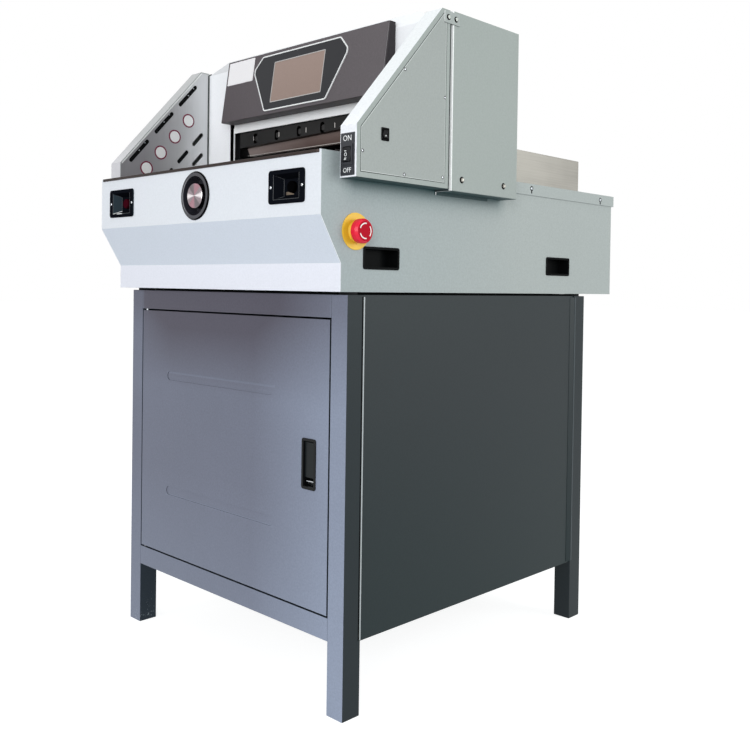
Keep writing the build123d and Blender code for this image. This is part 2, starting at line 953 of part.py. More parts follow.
def make_rear_covers():
    shell = block(
        body_half, cover_outer_x, rear_cover_y0, portal_rear_y, rear_cover_low_z, rear_cover_high_z
    )
    shell -= block(
        body_half - overrun,
        cover_outer_x - thin_sheet,
        rear_cover_y0 + thin_sheet,
        portal_rear_y - thin_sheet,
        rear_cover_low_z + thin_sheet,
        rear_cover_high_z - thin_sheet,
    )
    shell += block(
        body_half,
        body_half + thin_sheet,
        rear_cover_y0,
        portal_rear_y - rear_cover_flange_end,
        rear_cover_low_z - rear_cover_flange,
        rear_cover_low_z + thin_sheet,
    )
    parts["rear_side_covers"] = Compound([shell, mirrored(shell)])
    gap_mid = (cover_rear_y + rear_cover_y0) / 2
    link_z = cover_high_z - link_drop - link_height / 2
    link = side_plate(
        gap_mid, link_z, link_length, link_height, cover_outer_x, cover_outer_x + link_thickness, thin_sheet
    )
    parts["cover_links"] = Compound([link, mirrored(link)])
    fasteners = []
    outer = cover_outer_x + link_thickness
    for y in (gap_mid - link_screw_spacing / 2, gap_mid + link_screw_spacing / 2):
        fasteners.append(rod_x(y, link_z, outer, outer + screw_head_height, screw_head_radius))
    nut_z = rear_cover_low_z + nut_rise
    for y in (rear_cover_y0 + nut_front_inset, portal_rear_y - nut_rear_inset):
        nut = rod_x(y, nut_z, cover_outer_x, cover_outer_x + nut_height, nut_radius)
        rim = nut.edges().filter_by(GeomType.CIRCLE).sort_by(Axis.X)[-1]
        fasteners.append(chamfer(rim, nut_height / 2))
    fasteners += [mirrored(piece) for piece in fasteners]
    parts["cover_fasteners"] = Compound(fasteners)


# Power switch on the front of the right cover, small switch on the hatch
label_x = body_half + label_edge + label_width / 2
label_z = cover_low_z + label_rise + label_height / 2
rocker_x = body_half + cover_width / 2 - thin_sheet
rocker_z = cover_low_z + rocker_frame_rise
side_rocker_y = cover_front_y + side_rocker_place
side_rocker_z = cover_low_z + side_rocker_rise


def rocker_recess():
    """The hole that the power switch drops into."""
    return block(
        rocker_x - rocker_frame_width / 2 + label_edge,
        rocker_x + rocker_frame_width / 2 - label_edge,
        cover_front_y - overrun,
        cover_front_y + thin_sheet + overrun,
        rocker_z - rocker_frame_height / 2 + label_edge,
        rocker_z + rocker_frame_height / 2 - label_edge,
    )


def make_rocker(width, height):
    """A rocker about its own pin: a shallow V face, facing -Y, with the pin along X."""
    half = height / 2
    crown_y = -rocker_frame_lip / 2 - rocker_crown
    outline = [
        (-rocker_frame_lip / 2, 0),
        (crown_y, half - rocker_taper),
        (0, half),
        (rocker_depth / 2, half * rocker_root_share),
        (rocker_depth / 2, -half * rocker_root_share),
        (0, -half),
        (crown_y, rocker_taper - half),
    ]
    rocker = side_form(outline, -width / 2, width / 2)
    pin_half = width / 2 + 2 * seat_gap
    return rocker + rod_x(rocker_pin_inset, 0, -pin_half, pin_half, rocker_pin_radius)


def make_rocker_frame(width, height, inner_width, inner_height):
    """A frame with side walls that hold the rocker's pin, facing -Y."""
    frame = front_plate(0, 0, width, height, -rocker_frame_lip, 0, label_edge / 2)
    frame += block(
        -width / 2 + label_edge + seat_gap,
        width / 2 - label_edge - seat_gap,
        -rocker_frame_lip,
        rocker_depth,
        -height / 2 + label_edge + seat_gap,
        height / 2 - label_edge - seat_gap,
    )
    frame -= block(
        -inner_width / 2 - seat_gap,
        inner_width / 2 + seat_gap,
        -rocker_frame_lip - overrun,
        rocker_depth + overrun,
        -inner_height / 2 - seat_gap,
        inner_height / 2 + seat_gap,
    )
    pin_hole = rocker_pin_radius + running_fit
    return frame - rod_x(rocker_pin_inset, 0, -inner_width, inner_width, pin_hole)


def make_switches():
    label_y = cover_front_y - label_thickness
    place = Pos(rocker_x, label_y, rocker_z)
    plate = front_plate(
        label_x, label_z, label_width, label_height, label_y, cover_front_y, label_edge / 2
    )
    frame = place * make_rocker_frame(
        rocker_frame_width, rocker_frame_height, rocker_width, rocker_height
    )
    plate -= block(
        rocker_x - rocker_frame_width / 2 + label_edge,
        rocker_x + rocker_frame_width / 2 - label_edge,
        cover_front_y - overrun,
        cover_front_y + overrun,
        rocker_z - rocker_frame_height / 2 + label_edge,
        rocker_z + rocker_frame_height / 2 - label_edge,
    )
    parts["switch_plate"] = plate + frame
    parts["main_rocker"] = place * make_rocker(rocker_width, rocker_height)
    turn = Pos(cover_outer_x, side_rocker_y, side_rocker_z) * Rot(0, 0, 90)
    parts["side_switch_frame"] = turn * make_rocker_frame(
        side_rocker_frame_width, side_rocker_frame_height, side_rocker_width, side_rocker_height
    )
    parts["side_rocker"] = turn * make_rocker(side_rocker_width, side_rocker_height)


# Portal cover with hipped top, guard bar
def portal_solid(inset):
    """The portal's outer form, drawn in on every side by inset."""
    width = body_width - 2 * inset
    depth = portal_depth - 2 * inset
    mid_y = (portal_y + portal_rear_y) / 2
    body = block(
        -width / 2, width / 2, mid_y - depth / 2, mid_y + depth / 2, body_top_z, portal_top_z
    )
    base = Pos(0, mid_y, portal_top_z) * Rectangle(width, depth)
    crown = Pos(0, mid_y, portal_top_z + cap_height - inset) * Rectangle(
        width - 2 * cap_side_inset, depth - 2 * cap_front_inset
    )
    return body + loft([base, crown], ruled=True)


def make_portal():
    cover = portal_solid(0) - portal_solid(thin_sheet)
    half = throat_width / 2 + throat_side_gap
    cover -= block(
        -half,
        half,
        portal_y - overrun,
        portal_y + cut_setback,
        body_top_z - overrun,
        body_top_z + throat_top_height,
    )
    cover -= block(
        -half,
        half,
        portal_rear_y - cut_setback,
        portal_rear_y + overrun,
        body_top_z - overrun,
        body_top_z + throat_rear_height,
    )
    for side in (-1, 1):
        inner = side * (body_half - thin_sheet)
        outer = side * (body_half + overrun)
        cover -= block(
            min(inner, outer),
            max(inner, outer),
            portal_y + cut_setback,
            portal_rear_y - cut_setback,
            body_top_z - overrun,
            portal_top_z - portal_side_rim,
        )
    parts["portal_cover"] = cover
    top_z = body_top_z + panel_rise + table_thickness - guard_bar_drop
    low_z = top_z - guard_bar_height
    wide = throat_width / 2
    front = portal_y
    bar = block(-wide, wide, front, front + guard_bar_depth, low_z, top_z)
    bar -= side_corner(-wide, top_z, front)
    tab_y = portal_y + thin_sheet + seat_gap
    bar += block(
        -wide,
        wide,
        tab_y,
        tab_y + guard_tab_thickness,
        top_z - guard_bar_height / 2,
        top_z + guard_tab_height,
    )
    for x in (-wide, wide - guard_arm_width):
        bar += block(x, x + guard_arm_width, front, front + guard_tab_thickness, table_z + seat_gap, low_z)
    parts["guard_bar"] = bar


def side_corner(x, top_z, front):
    """The cut-off upper corner of the guard bar's left end."""
    rise = guard_corner_height
    outline = [(x, top_z - rise), (x, top_z + rise), (x + guard_corner_length, top_z + rise)]
    return front_form(outline, front - overrun, front + thin_sheet)


# Control panel on the portal's front
def make_panel():
    base_z = body_top_z + panel_rise + table_thickness
    rear = portal_y - seat_gap
    low = (portal_y - panel_base_depth - seat_gap, base_z)
    high = (portal_y - panel_top_depth - seat_gap, base_z + panel_height)
    half = panel_width / 2
    outline = [(rear, base_z), low, high, (rear, base_z + panel_height)]
    housing = side_form(outline, -half, half)
    front_edges = []
    for x in (-half, half):
        end = housing.edges().filter_by_position(Axis.X, x - running_fit, x + running_fit)
        front_edges.append(end.sort_by(Axis.Y)[0])
    housing = chamfer(front_edges, panel_edge)
    inner = [
        (rear + overrun, base_z + sheet),
        (low[0] + sheet, base_z + sheet),
        (high[0] + sheet, base_z + panel_height - sheet),
        (rear + overrun, base_z + panel_height - sheet),
    ]
    housing -= side_form(inner, panel_edge - half, half - panel_edge)
    parts["panel_housing"] = housing
    lean = atan2(high[0] - low[0], high[1] - low[1])
    face = Plane(origin=(0, low[0], low[1]), x_dir=(1, 0, 0), z_dir=(0, -cos(lean), sin(lean)))
    top_rise = bezel_base_rise + bezel_height
    middle = bezel_middle_rise
    shoulder = bezel_middle_rise + bezel_shoulder_rise
    right = [
        (bezel_base_width / 2, bezel_base_rise),
        (bezel_middle_width / 2, middle),
        (bezel_middle_width / 2, shoulder),
        (bezel_top_width / 2, top_rise),
    ]
    left = [(-x, z) for x, z in reversed(right)]
    outline = make_face(Polyline(*(right + left), close=True))
    outline = fillet(outline.vertices(), bezel_corner)
    window = Pos(0, screen_rise + screen_height / 2) * Rectangle(screen_width, screen_height)
    parts["panel_bezel"] = extrude(face * (outline - window), bezel_thickness)
    screen = Pos(0, screen_rise + screen_height / 2) * Rectangle(
        screen_width - 2 * seat_gap, screen_height - 2 * seat_gap
    )
    parts["touch_screen"] = extrude(face * screen, bezel_thickness - seat_gap)


# Gauge hood over the rear table
def make_hood():
    front = portal_rear_y + seat_gap
    half = hood_width / 2
    top = rear_table_bottom + hood_height
    hood = block(-half, half, front, hood_rear_y, rear_table_bottom, top)
    hood -= block(
        -half + sheet,
        half - sheet,
        front - overrun,
        hood_rear_y - sheet,
        rear_table_bottom - overrun,
        top - sheet,
    )
    parts["gauge_hood"] = hood


# Machine frame: base plates, bridge under the knife, uprights and beam
frame_front_y = cut_y - blade_thickness + seat_gap
beam_low_z = body_top_z + beam_rise
roller_z = beam_low_z + roller_rise
bridge_low_z = body_top_z - bridge_height
floor_z = body_bottom_z + sheet


def make_frame():
    solids = []
    outer = upright_inner + upright_width
    bridge = block(
        -outer, outer, frame_front_y, frame_front_y + bridge_depth, bridge_low_z, body_top_z
    )
    bridge += block(
        -throat_width / 2,
        throat_width / 2,
        stick_rear + seat_gap,
        frame_front_y + bridge_depth,
        body_top_z,
        rear_table_bottom,
    )
    bridge -= block(
        -outer - overrun,
        outer + overrun,
        stick_front,
        stick_rear,
        table_z - stick_size,
        body_top_z + overrun,
    )
    solids.append(bridge)
    for side in (-1, 1):
        a, b = sorted((side * upright_inner, side * outer))
        upright = block(
            a, b, frame_front_y, frame_front_y + upright_depth, body_top_z, body_top_z + upright_height
        )
        upright -= block(
            a - overrun, b + overrun, frame_front_y - overrun, cut_y + seat_gap, body_top_z, beam_low_z
        )
        solids.append(upright)
        a, b = sorted((side * outer, side * (outer + base_plate_thickness)))
        start = frame_front_y + base_plate_start
        solids.append(block(a, b, start, start + base_plate_length, floor_z, body_top_z))
    beam_top_z = beam_low_z + beam_height
    beam = block(
        -upright_inner,
        upright_inner,
        frame_front_y,
        frame_front_y + beam_depth,
        beam_low_z,
        beam_top_z,
    )
    hole = spindle_radius + spindle_room
    solids.append(beam - rod_z(0, spindle_y, beam_low_z - overrun, beam_top_z + overrun, hole))
    for x in (-roller_place, roller_place):
        solids.append(
            rod_y(x, roller_z, frame_front_y - carrier_thickness + sheet, frame_front_y, roller_radius)
        )
    parts["machine_frame"] = Compound(solids)


# Knife: carrier, blade, bolts and pull bar
blade_left = -blade_length * blade_left_share
blade_right = blade_left + blade_length
edge_z = table_z + blade_rest_rise
carrier_rear_y = cut_y - blade_thickness
carrier_front_y = carrier_rear_y - carrier_thickness
carrier_left = blade_left - carrier_lap
carrier_right = blade_right - carrier_lap + sheet
carrier_low_left = edge_z + carrier_show_left
carrier_low_right = edge_z + carrier_show_right
bolt_z = edge_z + bolt_rise


def bolt_xs():
    return [carrier_left + bolt_first_inset + index * bolt_spacing for index in range(bolt_count)]


def make_knife():
    top = carrier_low_left + carrier_height - carrier_show_left
    outline = [
        (carrier_left, carrier_low_left),
        (carrier_right, carrier_low_right),
        (carrier_right, top),
        (carrier_left, top),
    ]
    carrier = front_form(outline, carrier_front_y, carrier_rear_y)
    angle = degrees(atan2(knife_drop, knife_shift))
    travel = hypot(knife_shift, knife_drop)
    slot_width_full = 2 * (roller_radius + seat_gap)
    for x in (-roller_place, roller_place):
        carrier -= front_slot(
            x + knife_shift / 2,
            roller_z + knife_drop / 2,
            travel + slot_width_full,
            slot_width_full,
            angle,
            carrier_front_y - overrun,
            carrier_rear_y + overrun,
        )
    bolts = []
    holes = []
    for x in bolt_xs():
        carrier -= front_slot(
            x, bolt_z, bolt_slot_height, bolt_slot_width, 90, carrier_front_y - overrun,
            carrier_front_y + bolt_slot_depth,
        )
        carrier -= rod_y(x, bolt_z, carrier_front_y, carrier_rear_y + overrun, bolt_radius + running_fit)
        seat_y = carrier_front_y + bolt_slot_depth
        bolt = rod_y(x, bolt_z, seat_y - bolt_head_height, seat_y, bolt_head_radius)
        bolt += rod_y(x, bolt_z, seat_y, cut_y - bolt_end_gap, bolt_radius)
        bolts.append(bolt)
        holes.append(rod_y(x, bolt_z, carrier_rear_y - overrun, cut_y + overrun, bolt_radius + running_fit))
    parts["knife_carrier"] = carrier
    parts["blade_bolts"] = Compound(bolts)
    profile = [
        (cut_y, edge_z),
        (cut_y, edge_z + blade_height),
        (carrier_rear_y, edge_z + blade_height),
        (carrier_rear_y, edge_z + blade_bevel),
    ]
    blade = side_form(profile, blade_left, blade_right)
    for hole in holes:
        blade -= hole
    parts["blade"] = blade
    bar_mid = carrier_right + pull_bar_width / 2
    head_z = lever_z + lever_rise
    bar = block(
        carrier_right,
        carrier_right + pull_bar_width,
        carrier_front_y,
        carrier_rear_y,
        head_z,
        carrier_low_right + pull_bar_top,
    )
    bar += block(
        bar_mid - pull_head_width / 2,
        bar_mid + pull_head_width / 2,
        carrier_front_y,
        carrier_rear_y,
        head_z - pull_head_height / 2,
        head_z + pull_head_height / 2,
    )
    bar -= front_slot(
        bar_mid,
        head_z,
        pull_slot_length,
        pull_slot_height,
        0,
        carrier_front_y - overrun,
        carrier_rear_y + overrun,
    )
    parts["pull_bar"] = bar


# Knife drive: gear motor and lever with its roller
lever_rise = knife_drop / 2
lever_arm = lever_rise / sin(radians(lever_angle))
lever_reach = lever_arm * cos(radians(lever_angle))
lever_z = floor_z + lever_floor_gap
lever_x = carrier_right + pull_bar_width / 2 - lever_bias - lever_reach


def make_drive():
    pin_x = lever_x + lever_reach
    pin_z = lever_z + lever_rise
    arm_y0 = carrier_rear_y + seat_gap
    arm_y1 = arm_y0 + lever_thickness
    lever = front_slot(
        (lever_x + pin_x) / 2,
        (lever_z + pin_z) / 2,
        lever_arm + lever_width,
        lever_width,
        lever_angle,
        arm_y0,
        arm_y1,
    )
    lever += rod_y(pin_x, pin_z, carrier_front_y + thin_sheet, arm_y0, lever_roller_radius)
    lever += rod_y(lever_x, lever_z, arm_y1, arm_y1 + lever_shaft_length, lever_shaft_radius)
    parts["drive_lever"] = lever
    box_y = arm_y1 + seat_gap
    box = block(
        lever_x - gearbox_width / 2,
        lever_x + gearbox_width / 2,
        box_y,
        box_y + gearbox_length,
        floor_z,
        floor_z + gearbox_height,
    )
    bore_end = box_y + lever_shaft_length + overrun
    box -= rod_y(lever_x, lever_z, box_y - overrun, bore_end, lever_shaft_radius + running_fit)
    motor_y = box_y + gearbox_length
    box += rod_y(lever_x, lever_z, motor_y, motor_y + motor_length, motor_radius)
    parts["drive_gearmotor"] = box


# Clamp: comb beam, spindle and worm-wheel nut
spindle_y = cut_y + clamp_gap + clamp_depth / 2
clamp_low_z = table_z + clamp_rest_rise
clamp_high_z = clamp_low_z + clamp_height


def finger_xs():
    pitch = (gauge_width - finger_width) / (finger_count - 1)
    return [index * pitch - (gauge_width - finger_width) / 2 for index in range(finger_count)]


def make_clamp():
    half = upright_inner - seat_gap
    front = cut_y + clamp_gap
    rear = front + clamp_depth
    beam = block(-half, half, front, rear, clamp_low_z, clamp_high_z)
    for x in finger_xs():
        beam -= block(
            x - finger_width / 2 - finger_play,
            x + finger_width / 2 + finger_play,
            rear - finger_reach,
            rear + overrun,
            clamp_low_z - overrun,
            clamp_low_z + finger_height + finger_play,
        )
    beam -= rod_z(
        0, spindle_y, clamp_high_z - spindle_seat, clamp_high_z + overrun, spindle_radius + running_fit
    )
    parts["clamp_beam"] = beam
    parts["clamp_spindle"] = rod_z(
        0, spindle_y, clamp_high_z - spindle_seat, clamp_high_z + spindle_reach, spindle_radius
    )
    nut = rod_z(0, spindle_y, clamp_high_z + spindle_room, beam_low_z - overrun, clamp_nut_radius)
    nut += rod_z(0, spindle_y, beam_low_z - overrun, beam_low_z - seat_gap, clamp_nut_collar)
    nut -= rod_z(0, spindle_y, clamp_high_z - overrun, beam_low_z + overrun, spindle_radius + running_fit)
    parts["clamp_nut"] = nut


# Back gauge, lead screw, rails and motor
gauge_axis_z = body_top_z - gauge_axis_drop
rail_y0 = frame_front_y + bridge_depth
rail_y1 = body_rear_y - rail_rear_room
gauge_y = rail_y1 - gauge_rear_room


def make_gauge():
    half = gauge_width / 2
    low = table_z + seat_gap
    gauge = block(-half, half, gauge_y, gauge_y + gauge_thickness, low, low + gauge_height)
    for x in finger_xs():
        gauge += block(
            x - finger_width / 2,
            x + finger_width / 2,
            gauge_y - finger_reach,
            gauge_y,
            low,
            low + finger_height,
        )
    web = gauge_slot_width / 2 - sheet
    gauge += block(-web, web, gauge_y, gauge_y + nut_block_length, gauge_axis_z, low + finger_height)
    gauge += block(
        -nut_block_width / 2,
        nut_block_width / 2,
        gauge_y,
        gauge_y + nut_block_length,
        gauge_axis_z - nut_block_height / 2,
        gauge_axis_z + nut_block_height / 2,
    )
    reach = (gauge_y - overrun, gauge_y + nut_block_length + overrun)
    gauge -= rod_y(0, gauge_axis_z, *reach, lead_screw_radius + running_fit)
    for x in (-rail_spacing / 2, rail_spacing / 2):
        gauge -= rod_y(x, gauge_axis_z, *reach, rail_radius + running_fit)
    parts["back_gauge"] = gauge
    y0 = rail_y0 + bracket_thickness
    rail_xs = (-rail_spacing / 2, rail_spacing / 2)
    solids = [rod_y(x, gauge_axis_z, y0, rail_y1, rail_radius) for x in rail_xs]
    journal = journal_radius + running_fit
    wide = nut_block_width / 2
    front = block(
        -wide, wide, rail_y0, y0, gauge_axis_z - bracket_height / 2, gauge_axis_z + bracket_height / 2
    )
    solids.append(front - rod_y(0, gauge_axis_z, rail_y0 - overrun, y0 + overrun, journal))
    rear = block(
        -wide, wide, rail_y1, rail_y1 + bracket_thickness, floor_z, gauge_axis_z + bracket_height / 2
    )
    solids.append(
        rear - rod_y(0, gauge_axis_z, rail_y1 - overrun, rail_y1 + bracket_thickness + overrun, journal)
    )
    parts["gauge_rails"] = Compound(solids)
    screw = rod_y(0, gauge_axis_z, y0 + seat_gap, rail_y1 - seat_gap, lead_screw_radius)
    screw += rod_y(0, gauge_axis_z, rail_y0 + seat_gap, y0 + seat_gap, journal_radius)
    screw += rod_y(
        0, gauge_axis_z, rail_y1 - seat_gap, rail_y1 + bracket_thickness + journal_reach, journal_radius
    )
    parts["lead_screw"] = screw
    motor_y = rail_y1 + bracket_thickness
    size = gauge_motor_size / 2
    motor = block(
        -size, size, motor_y, motor_y + gauge_motor_length, gauge_axis_z - size, gauge_axis_z + size
    )
    motor = chamfer(motor.edges().filter_by(Axis.Y), overrun)
    motor -= rod_y(0, gauge_axis_z, motor_y - overrun, motor_y + journal_reach + seat_gap, journal)
    parts["gauge_motor"] = motor


make_stand()
make_door()
make_door_handle()
make_body()
make_carry_handles()
make_tables()
make_cut_buttons()
make_dial()
make_estop()
make_front_covers()
make_rear_covers()
make_switches()
make_portal()
make_panel()
make_hood()
make_frame()
make_knife()
make_drive()
make_clamp()
make_gauge()

os.makedirs("parts", exist_ok=True)
for name, shape in parts.items():
    export_step(shape, f"parts/{name}.step")
print(len(parts), "nodes")
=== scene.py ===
from math import atan2, cos, pi, radians, sin, tan

import bmesh
import bpy
from mathutils import Matrix, Vector, geometry


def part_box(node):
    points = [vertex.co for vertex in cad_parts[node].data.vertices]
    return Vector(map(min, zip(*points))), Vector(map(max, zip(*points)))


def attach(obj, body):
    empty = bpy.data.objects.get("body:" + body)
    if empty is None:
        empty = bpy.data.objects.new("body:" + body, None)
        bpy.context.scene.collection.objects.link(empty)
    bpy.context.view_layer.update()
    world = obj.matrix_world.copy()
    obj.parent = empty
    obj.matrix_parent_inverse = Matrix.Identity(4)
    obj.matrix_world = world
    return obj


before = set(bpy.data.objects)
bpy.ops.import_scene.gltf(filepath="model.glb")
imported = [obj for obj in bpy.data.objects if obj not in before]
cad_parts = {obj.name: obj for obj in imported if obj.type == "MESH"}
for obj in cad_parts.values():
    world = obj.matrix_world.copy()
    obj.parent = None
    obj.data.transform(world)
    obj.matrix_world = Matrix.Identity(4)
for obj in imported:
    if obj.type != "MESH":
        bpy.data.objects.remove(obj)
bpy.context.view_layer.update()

# Camera
# The photograph was taken from the operator's right, below the height of the table. Its own middle
# lies off the lens axis, which the small shift gives.
def new_object(name, data):
    """Puts an object with its data into the scene."""
    made = bpy.data.objects.new(name, data)
    bpy.context.scene.collection.objects.link(made)
    return made


camera = new_object("photo_camera", bpy.data.cameras.new("photo_camera"))
camera.data.sensor_width = 36.0
camera.data.lens = 43.312
camera.data.shift_x = -0.03385
camera.data.shift_y = -0.09708
camera.data.clip_start = 0.05
camera.data.clip_end = 100.0
eye, turned_left, tipped_down, rolled = (1.39384, -1.35834, 0.70170), 0.760164, 0.016727, 0.014515
camera.matrix_world = (
    Matrix.Translation(eye)
    @ Matrix.Rotation(turned_left, 4, "Z")
    @ Matrix.Rotation(pi / 2 - tipped_down, 4, "X")
    @ Matrix.Rotation(rolled, 4, "Z")
)
bpy.context.scene.camera = camera


# Studio
# A pale room: even light from all round, a large soft lamp in front, one at the front right that
# reaches in between the covers, and weaker ones above and at the right. Camera, mirror and glass
# rays see plain white.
def linear(hex_colour):
    """An sRGB hex value as the linear colour that Blender works in."""
    channels = [int(hex_colour[i : i + 2], 16) / 255 for i in (1, 3, 5)]
    return tuple(c / 12.92 if c <= 0.04045 else ((c + 0.055) / 1.055) ** 2.4 for c in channels) + (1.0,)


def feed(tree, node, inputs):
    """Sets a node's inputs, each to a value or linked from a socket or from another node."""
    for key, value in dict(inputs).items():
        if isinstance(value, bpy.types.Node):
            value = next(socket for socket in value.outputs if socket.enabled)
        if isinstance(value, bpy.types.NodeSocket):
            tree.links.new(value, node.inputs[key])
        else:
            node.inputs[key].default_value = value


def add_node(tree, kind, inputs=(), **settings):
    """Adds a node with its settings and its inputs."""
    node = tree.nodes.new(kind)
    for key, value in settings.items():
        setattr(node, key, value)
    feed(tree, node, inputs)
    return node


def sight_rays(tree):
    """Tells the rays that carry a picture, by eye, mirror or glass, from those that carry light."""
    rays = add_node(tree, "ShaderNodeLightPath").outputs
    seen = add_node(
        tree, "ShaderNodeMath", {0: rays["Is Camera Ray"], 1: rays["Is Glossy Ray"]}, operation="MAXIMUM"
    )
    return add_node(tree, "ShaderNodeMath", {0: seen, 1: rays["Is Transmission Ray"]}, operation="MAXIMUM")


bpy.context.scene.view_settings.view_transform = "Standard"
world = bpy.data.worlds.new("pale_room")
bpy.context.scene.world = world
world.use_nodes = True
tree = world.node_tree
tree.nodes.clear()
room = add_node(tree, "ShaderNodeBackground", {"Color": linear("#F4FBF8"), "Strength": 0.44})
white = add_node(tree, "ShaderNodeBackground", {"Color": (1, 1, 1, 1), "Strength": 1.0})
both = add_node(tree, "ShaderNodeMixShader", {0: sight_rays(tree), 1: room, 2: white})
add_node(tree, "ShaderNodeOutputWorld", {"Surface": both})


def soft_lamp(name, place, size, power, colour):
    """A square lamp that faces the middle of the machine."""
    light = bpy.data.lights.new(name, "AREA")
    light.shape = "SQUARE"
    light.size = size
    light.energy = power
    light.color = linear(colour)[:3]
    lamp = new_object(name, light)
    lamp.location = place
    machine_middle = Vector((0, 0, 0.6))
    lamp.rotation_euler = (machine_middle - Vector(place)).to_track_quat("-Z", "Y").to_euler()


soft_lamp("front_lamp", (-0.2, -4.2, 1.4), 2.0, 43.0, "#F8FAFF")
soft_lamp("front_right_lamp", (2.7, -3.4, 1.5), 1.8, 72.0, "#FBFEFF")
soft_lamp("right_lamp", (3.1, 1.5, 1.3), 1.8, 42.0, "#FAFFFD")
soft_lamp("top_lamp", (0.0, 0.2, 4.2), 3.0, 38.0, "#FFFFFF")

floor_reach = 30
floor_corners = [(x * floor_reach, y * floor_reach, 0) for x, y in ((-1, -1), (1, -1), (1, 1), (-1, 1))]
floor_mesh = bpy.data.meshes.new("studio_floor")
floor_mesh.from_pydata(floor_corners, [], [(0, 1, 2, 3)])
floor = new_object("studio_floor", floor_mesh)
floor_paint = bpy.data.materials.new("white_floor_paint")
floor_paint.use_nodes = True
tree = floor_paint.node_tree
tree.nodes.clear()
matt = add_node(tree, "ShaderNodeBsdfDiffuse", {"Color": linear("#ACADAF")})
glow = add_node(tree, "ShaderNodeEmission", {"Color": (1, 1, 1, 1), "Strength": 0.86})
unlit = add_node(tree, "ShaderNodeEmission", {"Strength": 0.0})
pale = add_node(tree, "ShaderNodeMixShader", {0: sight_rays(tree), 1: unlit, 2: glow})
lit = add_node(tree, "ShaderNodeAddShader", {0: matt, 1: pale})
add_node(tree, "ShaderNodeOutputMaterial", {"Surface": lit})
floor_mesh.materials.append(floor_paint)


# Stand legs, rails and cabinet panels
# Welded square steel tube and folded sheet in graphite powder coat. Baked powder leaves a fine
# orange peel and a faint cloud in the colour. Light and shade are painted in: the front faces are
# painted pale, and the faces that turn right on the left of the stand a little lighter. The feet are
# chipped to the primer.
def new_material(name, sockets):
    """A material with its constant sockets set, its tree, its shader and the place on the piece."""
    made = bpy.data.materials.new(name)
    made.use_nodes = True
    shader = made.node_tree.nodes["Principled BSDF"]
    feed(made.node_tree, shader, sockets)
    return made, made.node_tree, shader, add_node(made.node_tree, "ShaderNodeTexCoord").outputs["Object"]


def powder_coat(name, colour, roughness, cloud=0.05, gloss=0.5, speck=0.13):
    """Baked powder paint on sheet steel. Its peel and specks are drawn coarse enough to show."""
    cloud_mm, speck_mm, peel_mm, peel_height = 190, 3.2, 2.2, 0.0004
    made, tree, shader, place = new_material(name, {"Specular IOR Level": gloss})
    patches = add_node(tree, "ShaderNodeTexNoise", {"Vector": place, "Scale": 1000 / cloud_mm, "Detail": 4.0})
    speckle = add_node(tree, "ShaderNodeTexNoise", {"Vector": place, "Scale": 1000 / speck_mm, "Detail": 1.0})
    peel = add_node(tree, "ShaderNodeTexNoise", {"Vector": place, "Scale": 1000 / peel_mm, "Detail": 1.0})
    wide = add_node(tree, "ShaderNodeMapRange", {0: patches, 3: 1 - 1.2 * cloud, 4: 1 + 1.2 * cloud})
    fine = add_node(tree, "ShaderNodeMapRange", {0: speckle, 3: 1 - speck, 4: 1 + speck})
    shade = add_node(tree, "ShaderNodeMath", {0: wide, 1: fine}, operation="MULTIPLY")
    coat = add_node(
        tree, "ShaderNodeMix", {0: 1.0, 6: linear(colour), 7: shade}, data_type="RGBA", blend_type="MULTIPLY"
    )
    rough = add_node(tree, "ShaderNodeMapRange", {0: patches, 3: roughness - 0.04, 4: roughness + 0.06})
    bump = add_node(tree, "ShaderNodeBump", {"Height": peel, "Strength": 0.2, "Distance": peel_height})
    feed(tree, shader, {"Base Color": coat, "Roughness": rough, "Normal": bump})
    return made, tree, coat


def finish(names, made, corner_mm=0.0):
    """Gives CAD nodes their material, and rounds their corners as folded and moulded edges are."""
    same_point, same_face, real_corner = 0.00001, radians(0.3), radians(28)
    for name in names:
        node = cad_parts[name]
        node.data.materials.clear()
        node.data.materials.append(made)
        if not corner_mm:
            continue
        stored_normals = node.data.attributes.get("custom_normal")
        if stored_normals:
            node.data.attributes.remove(stored_normals)
        node.data.polygons.foreach_set("use_smooth", [True] * len(node.data.polygons))
        joined = node.modifiers.new("joined_corners", "WELD")
        joined.merge_threshold = same_point
        flat = node.modifiers.new("whole_faces", "DECIMATE")
        flat.decimate_type = "DISSOLVE"
        flat.angle_limit = same_face
        rounded = node.modifiers.new("rounded_corners", "BEVEL")
        rounded.width = corner_mm / 1000
        rounded.segments = 2
        rounded.limit_method = "ANGLE"
        rounded.angle_limit = real_corner
        rounded.harden_normals = True


def sides(tree):
    """The place and the outward direction on a surface, each as its x, y and z."""
    source = add_node(tree, "ShaderNodeTexCoord").outputs
    return [add_node(tree, "ShaderNodeSeparateXYZ", {0: source[key]}).outputs for key in ("Object", "Normal")]


def within(tree, *zones, strength=1.0):
    """How far all zones hold, times strength: each is a value, where it begins and where it is whole."""
    shares = [
        add_node(tree, "ShaderNodeMapRange", {0: value, 1: begins, 2: full}) for value, begins, full in zones
    ]
    feed(tree, shares[0], {4: strength})
    whole = shares[0]
    for share in shares[1:]:
        whole = add_node(tree, "ShaderNodeMath", {0: whole, 1: share}, operation="MULTIPLY")
    return whole


def laid_over(tree, under, colour, *zones, strength=1.0, blend_type="MIX"):
    """Lays a colour over another one as far as the zones hold. A colour is a hex value or a node."""
    under, colour = (linear(paint) if isinstance(paint, str) else paint for paint in (under, colour))
    share = within(tree, *zones, strength=strength)
    return add_node(
        tree, "ShaderNodeMix", {0: share, 6: under, 7: colour}, data_type="RGBA", blend_type=blend_type
    )


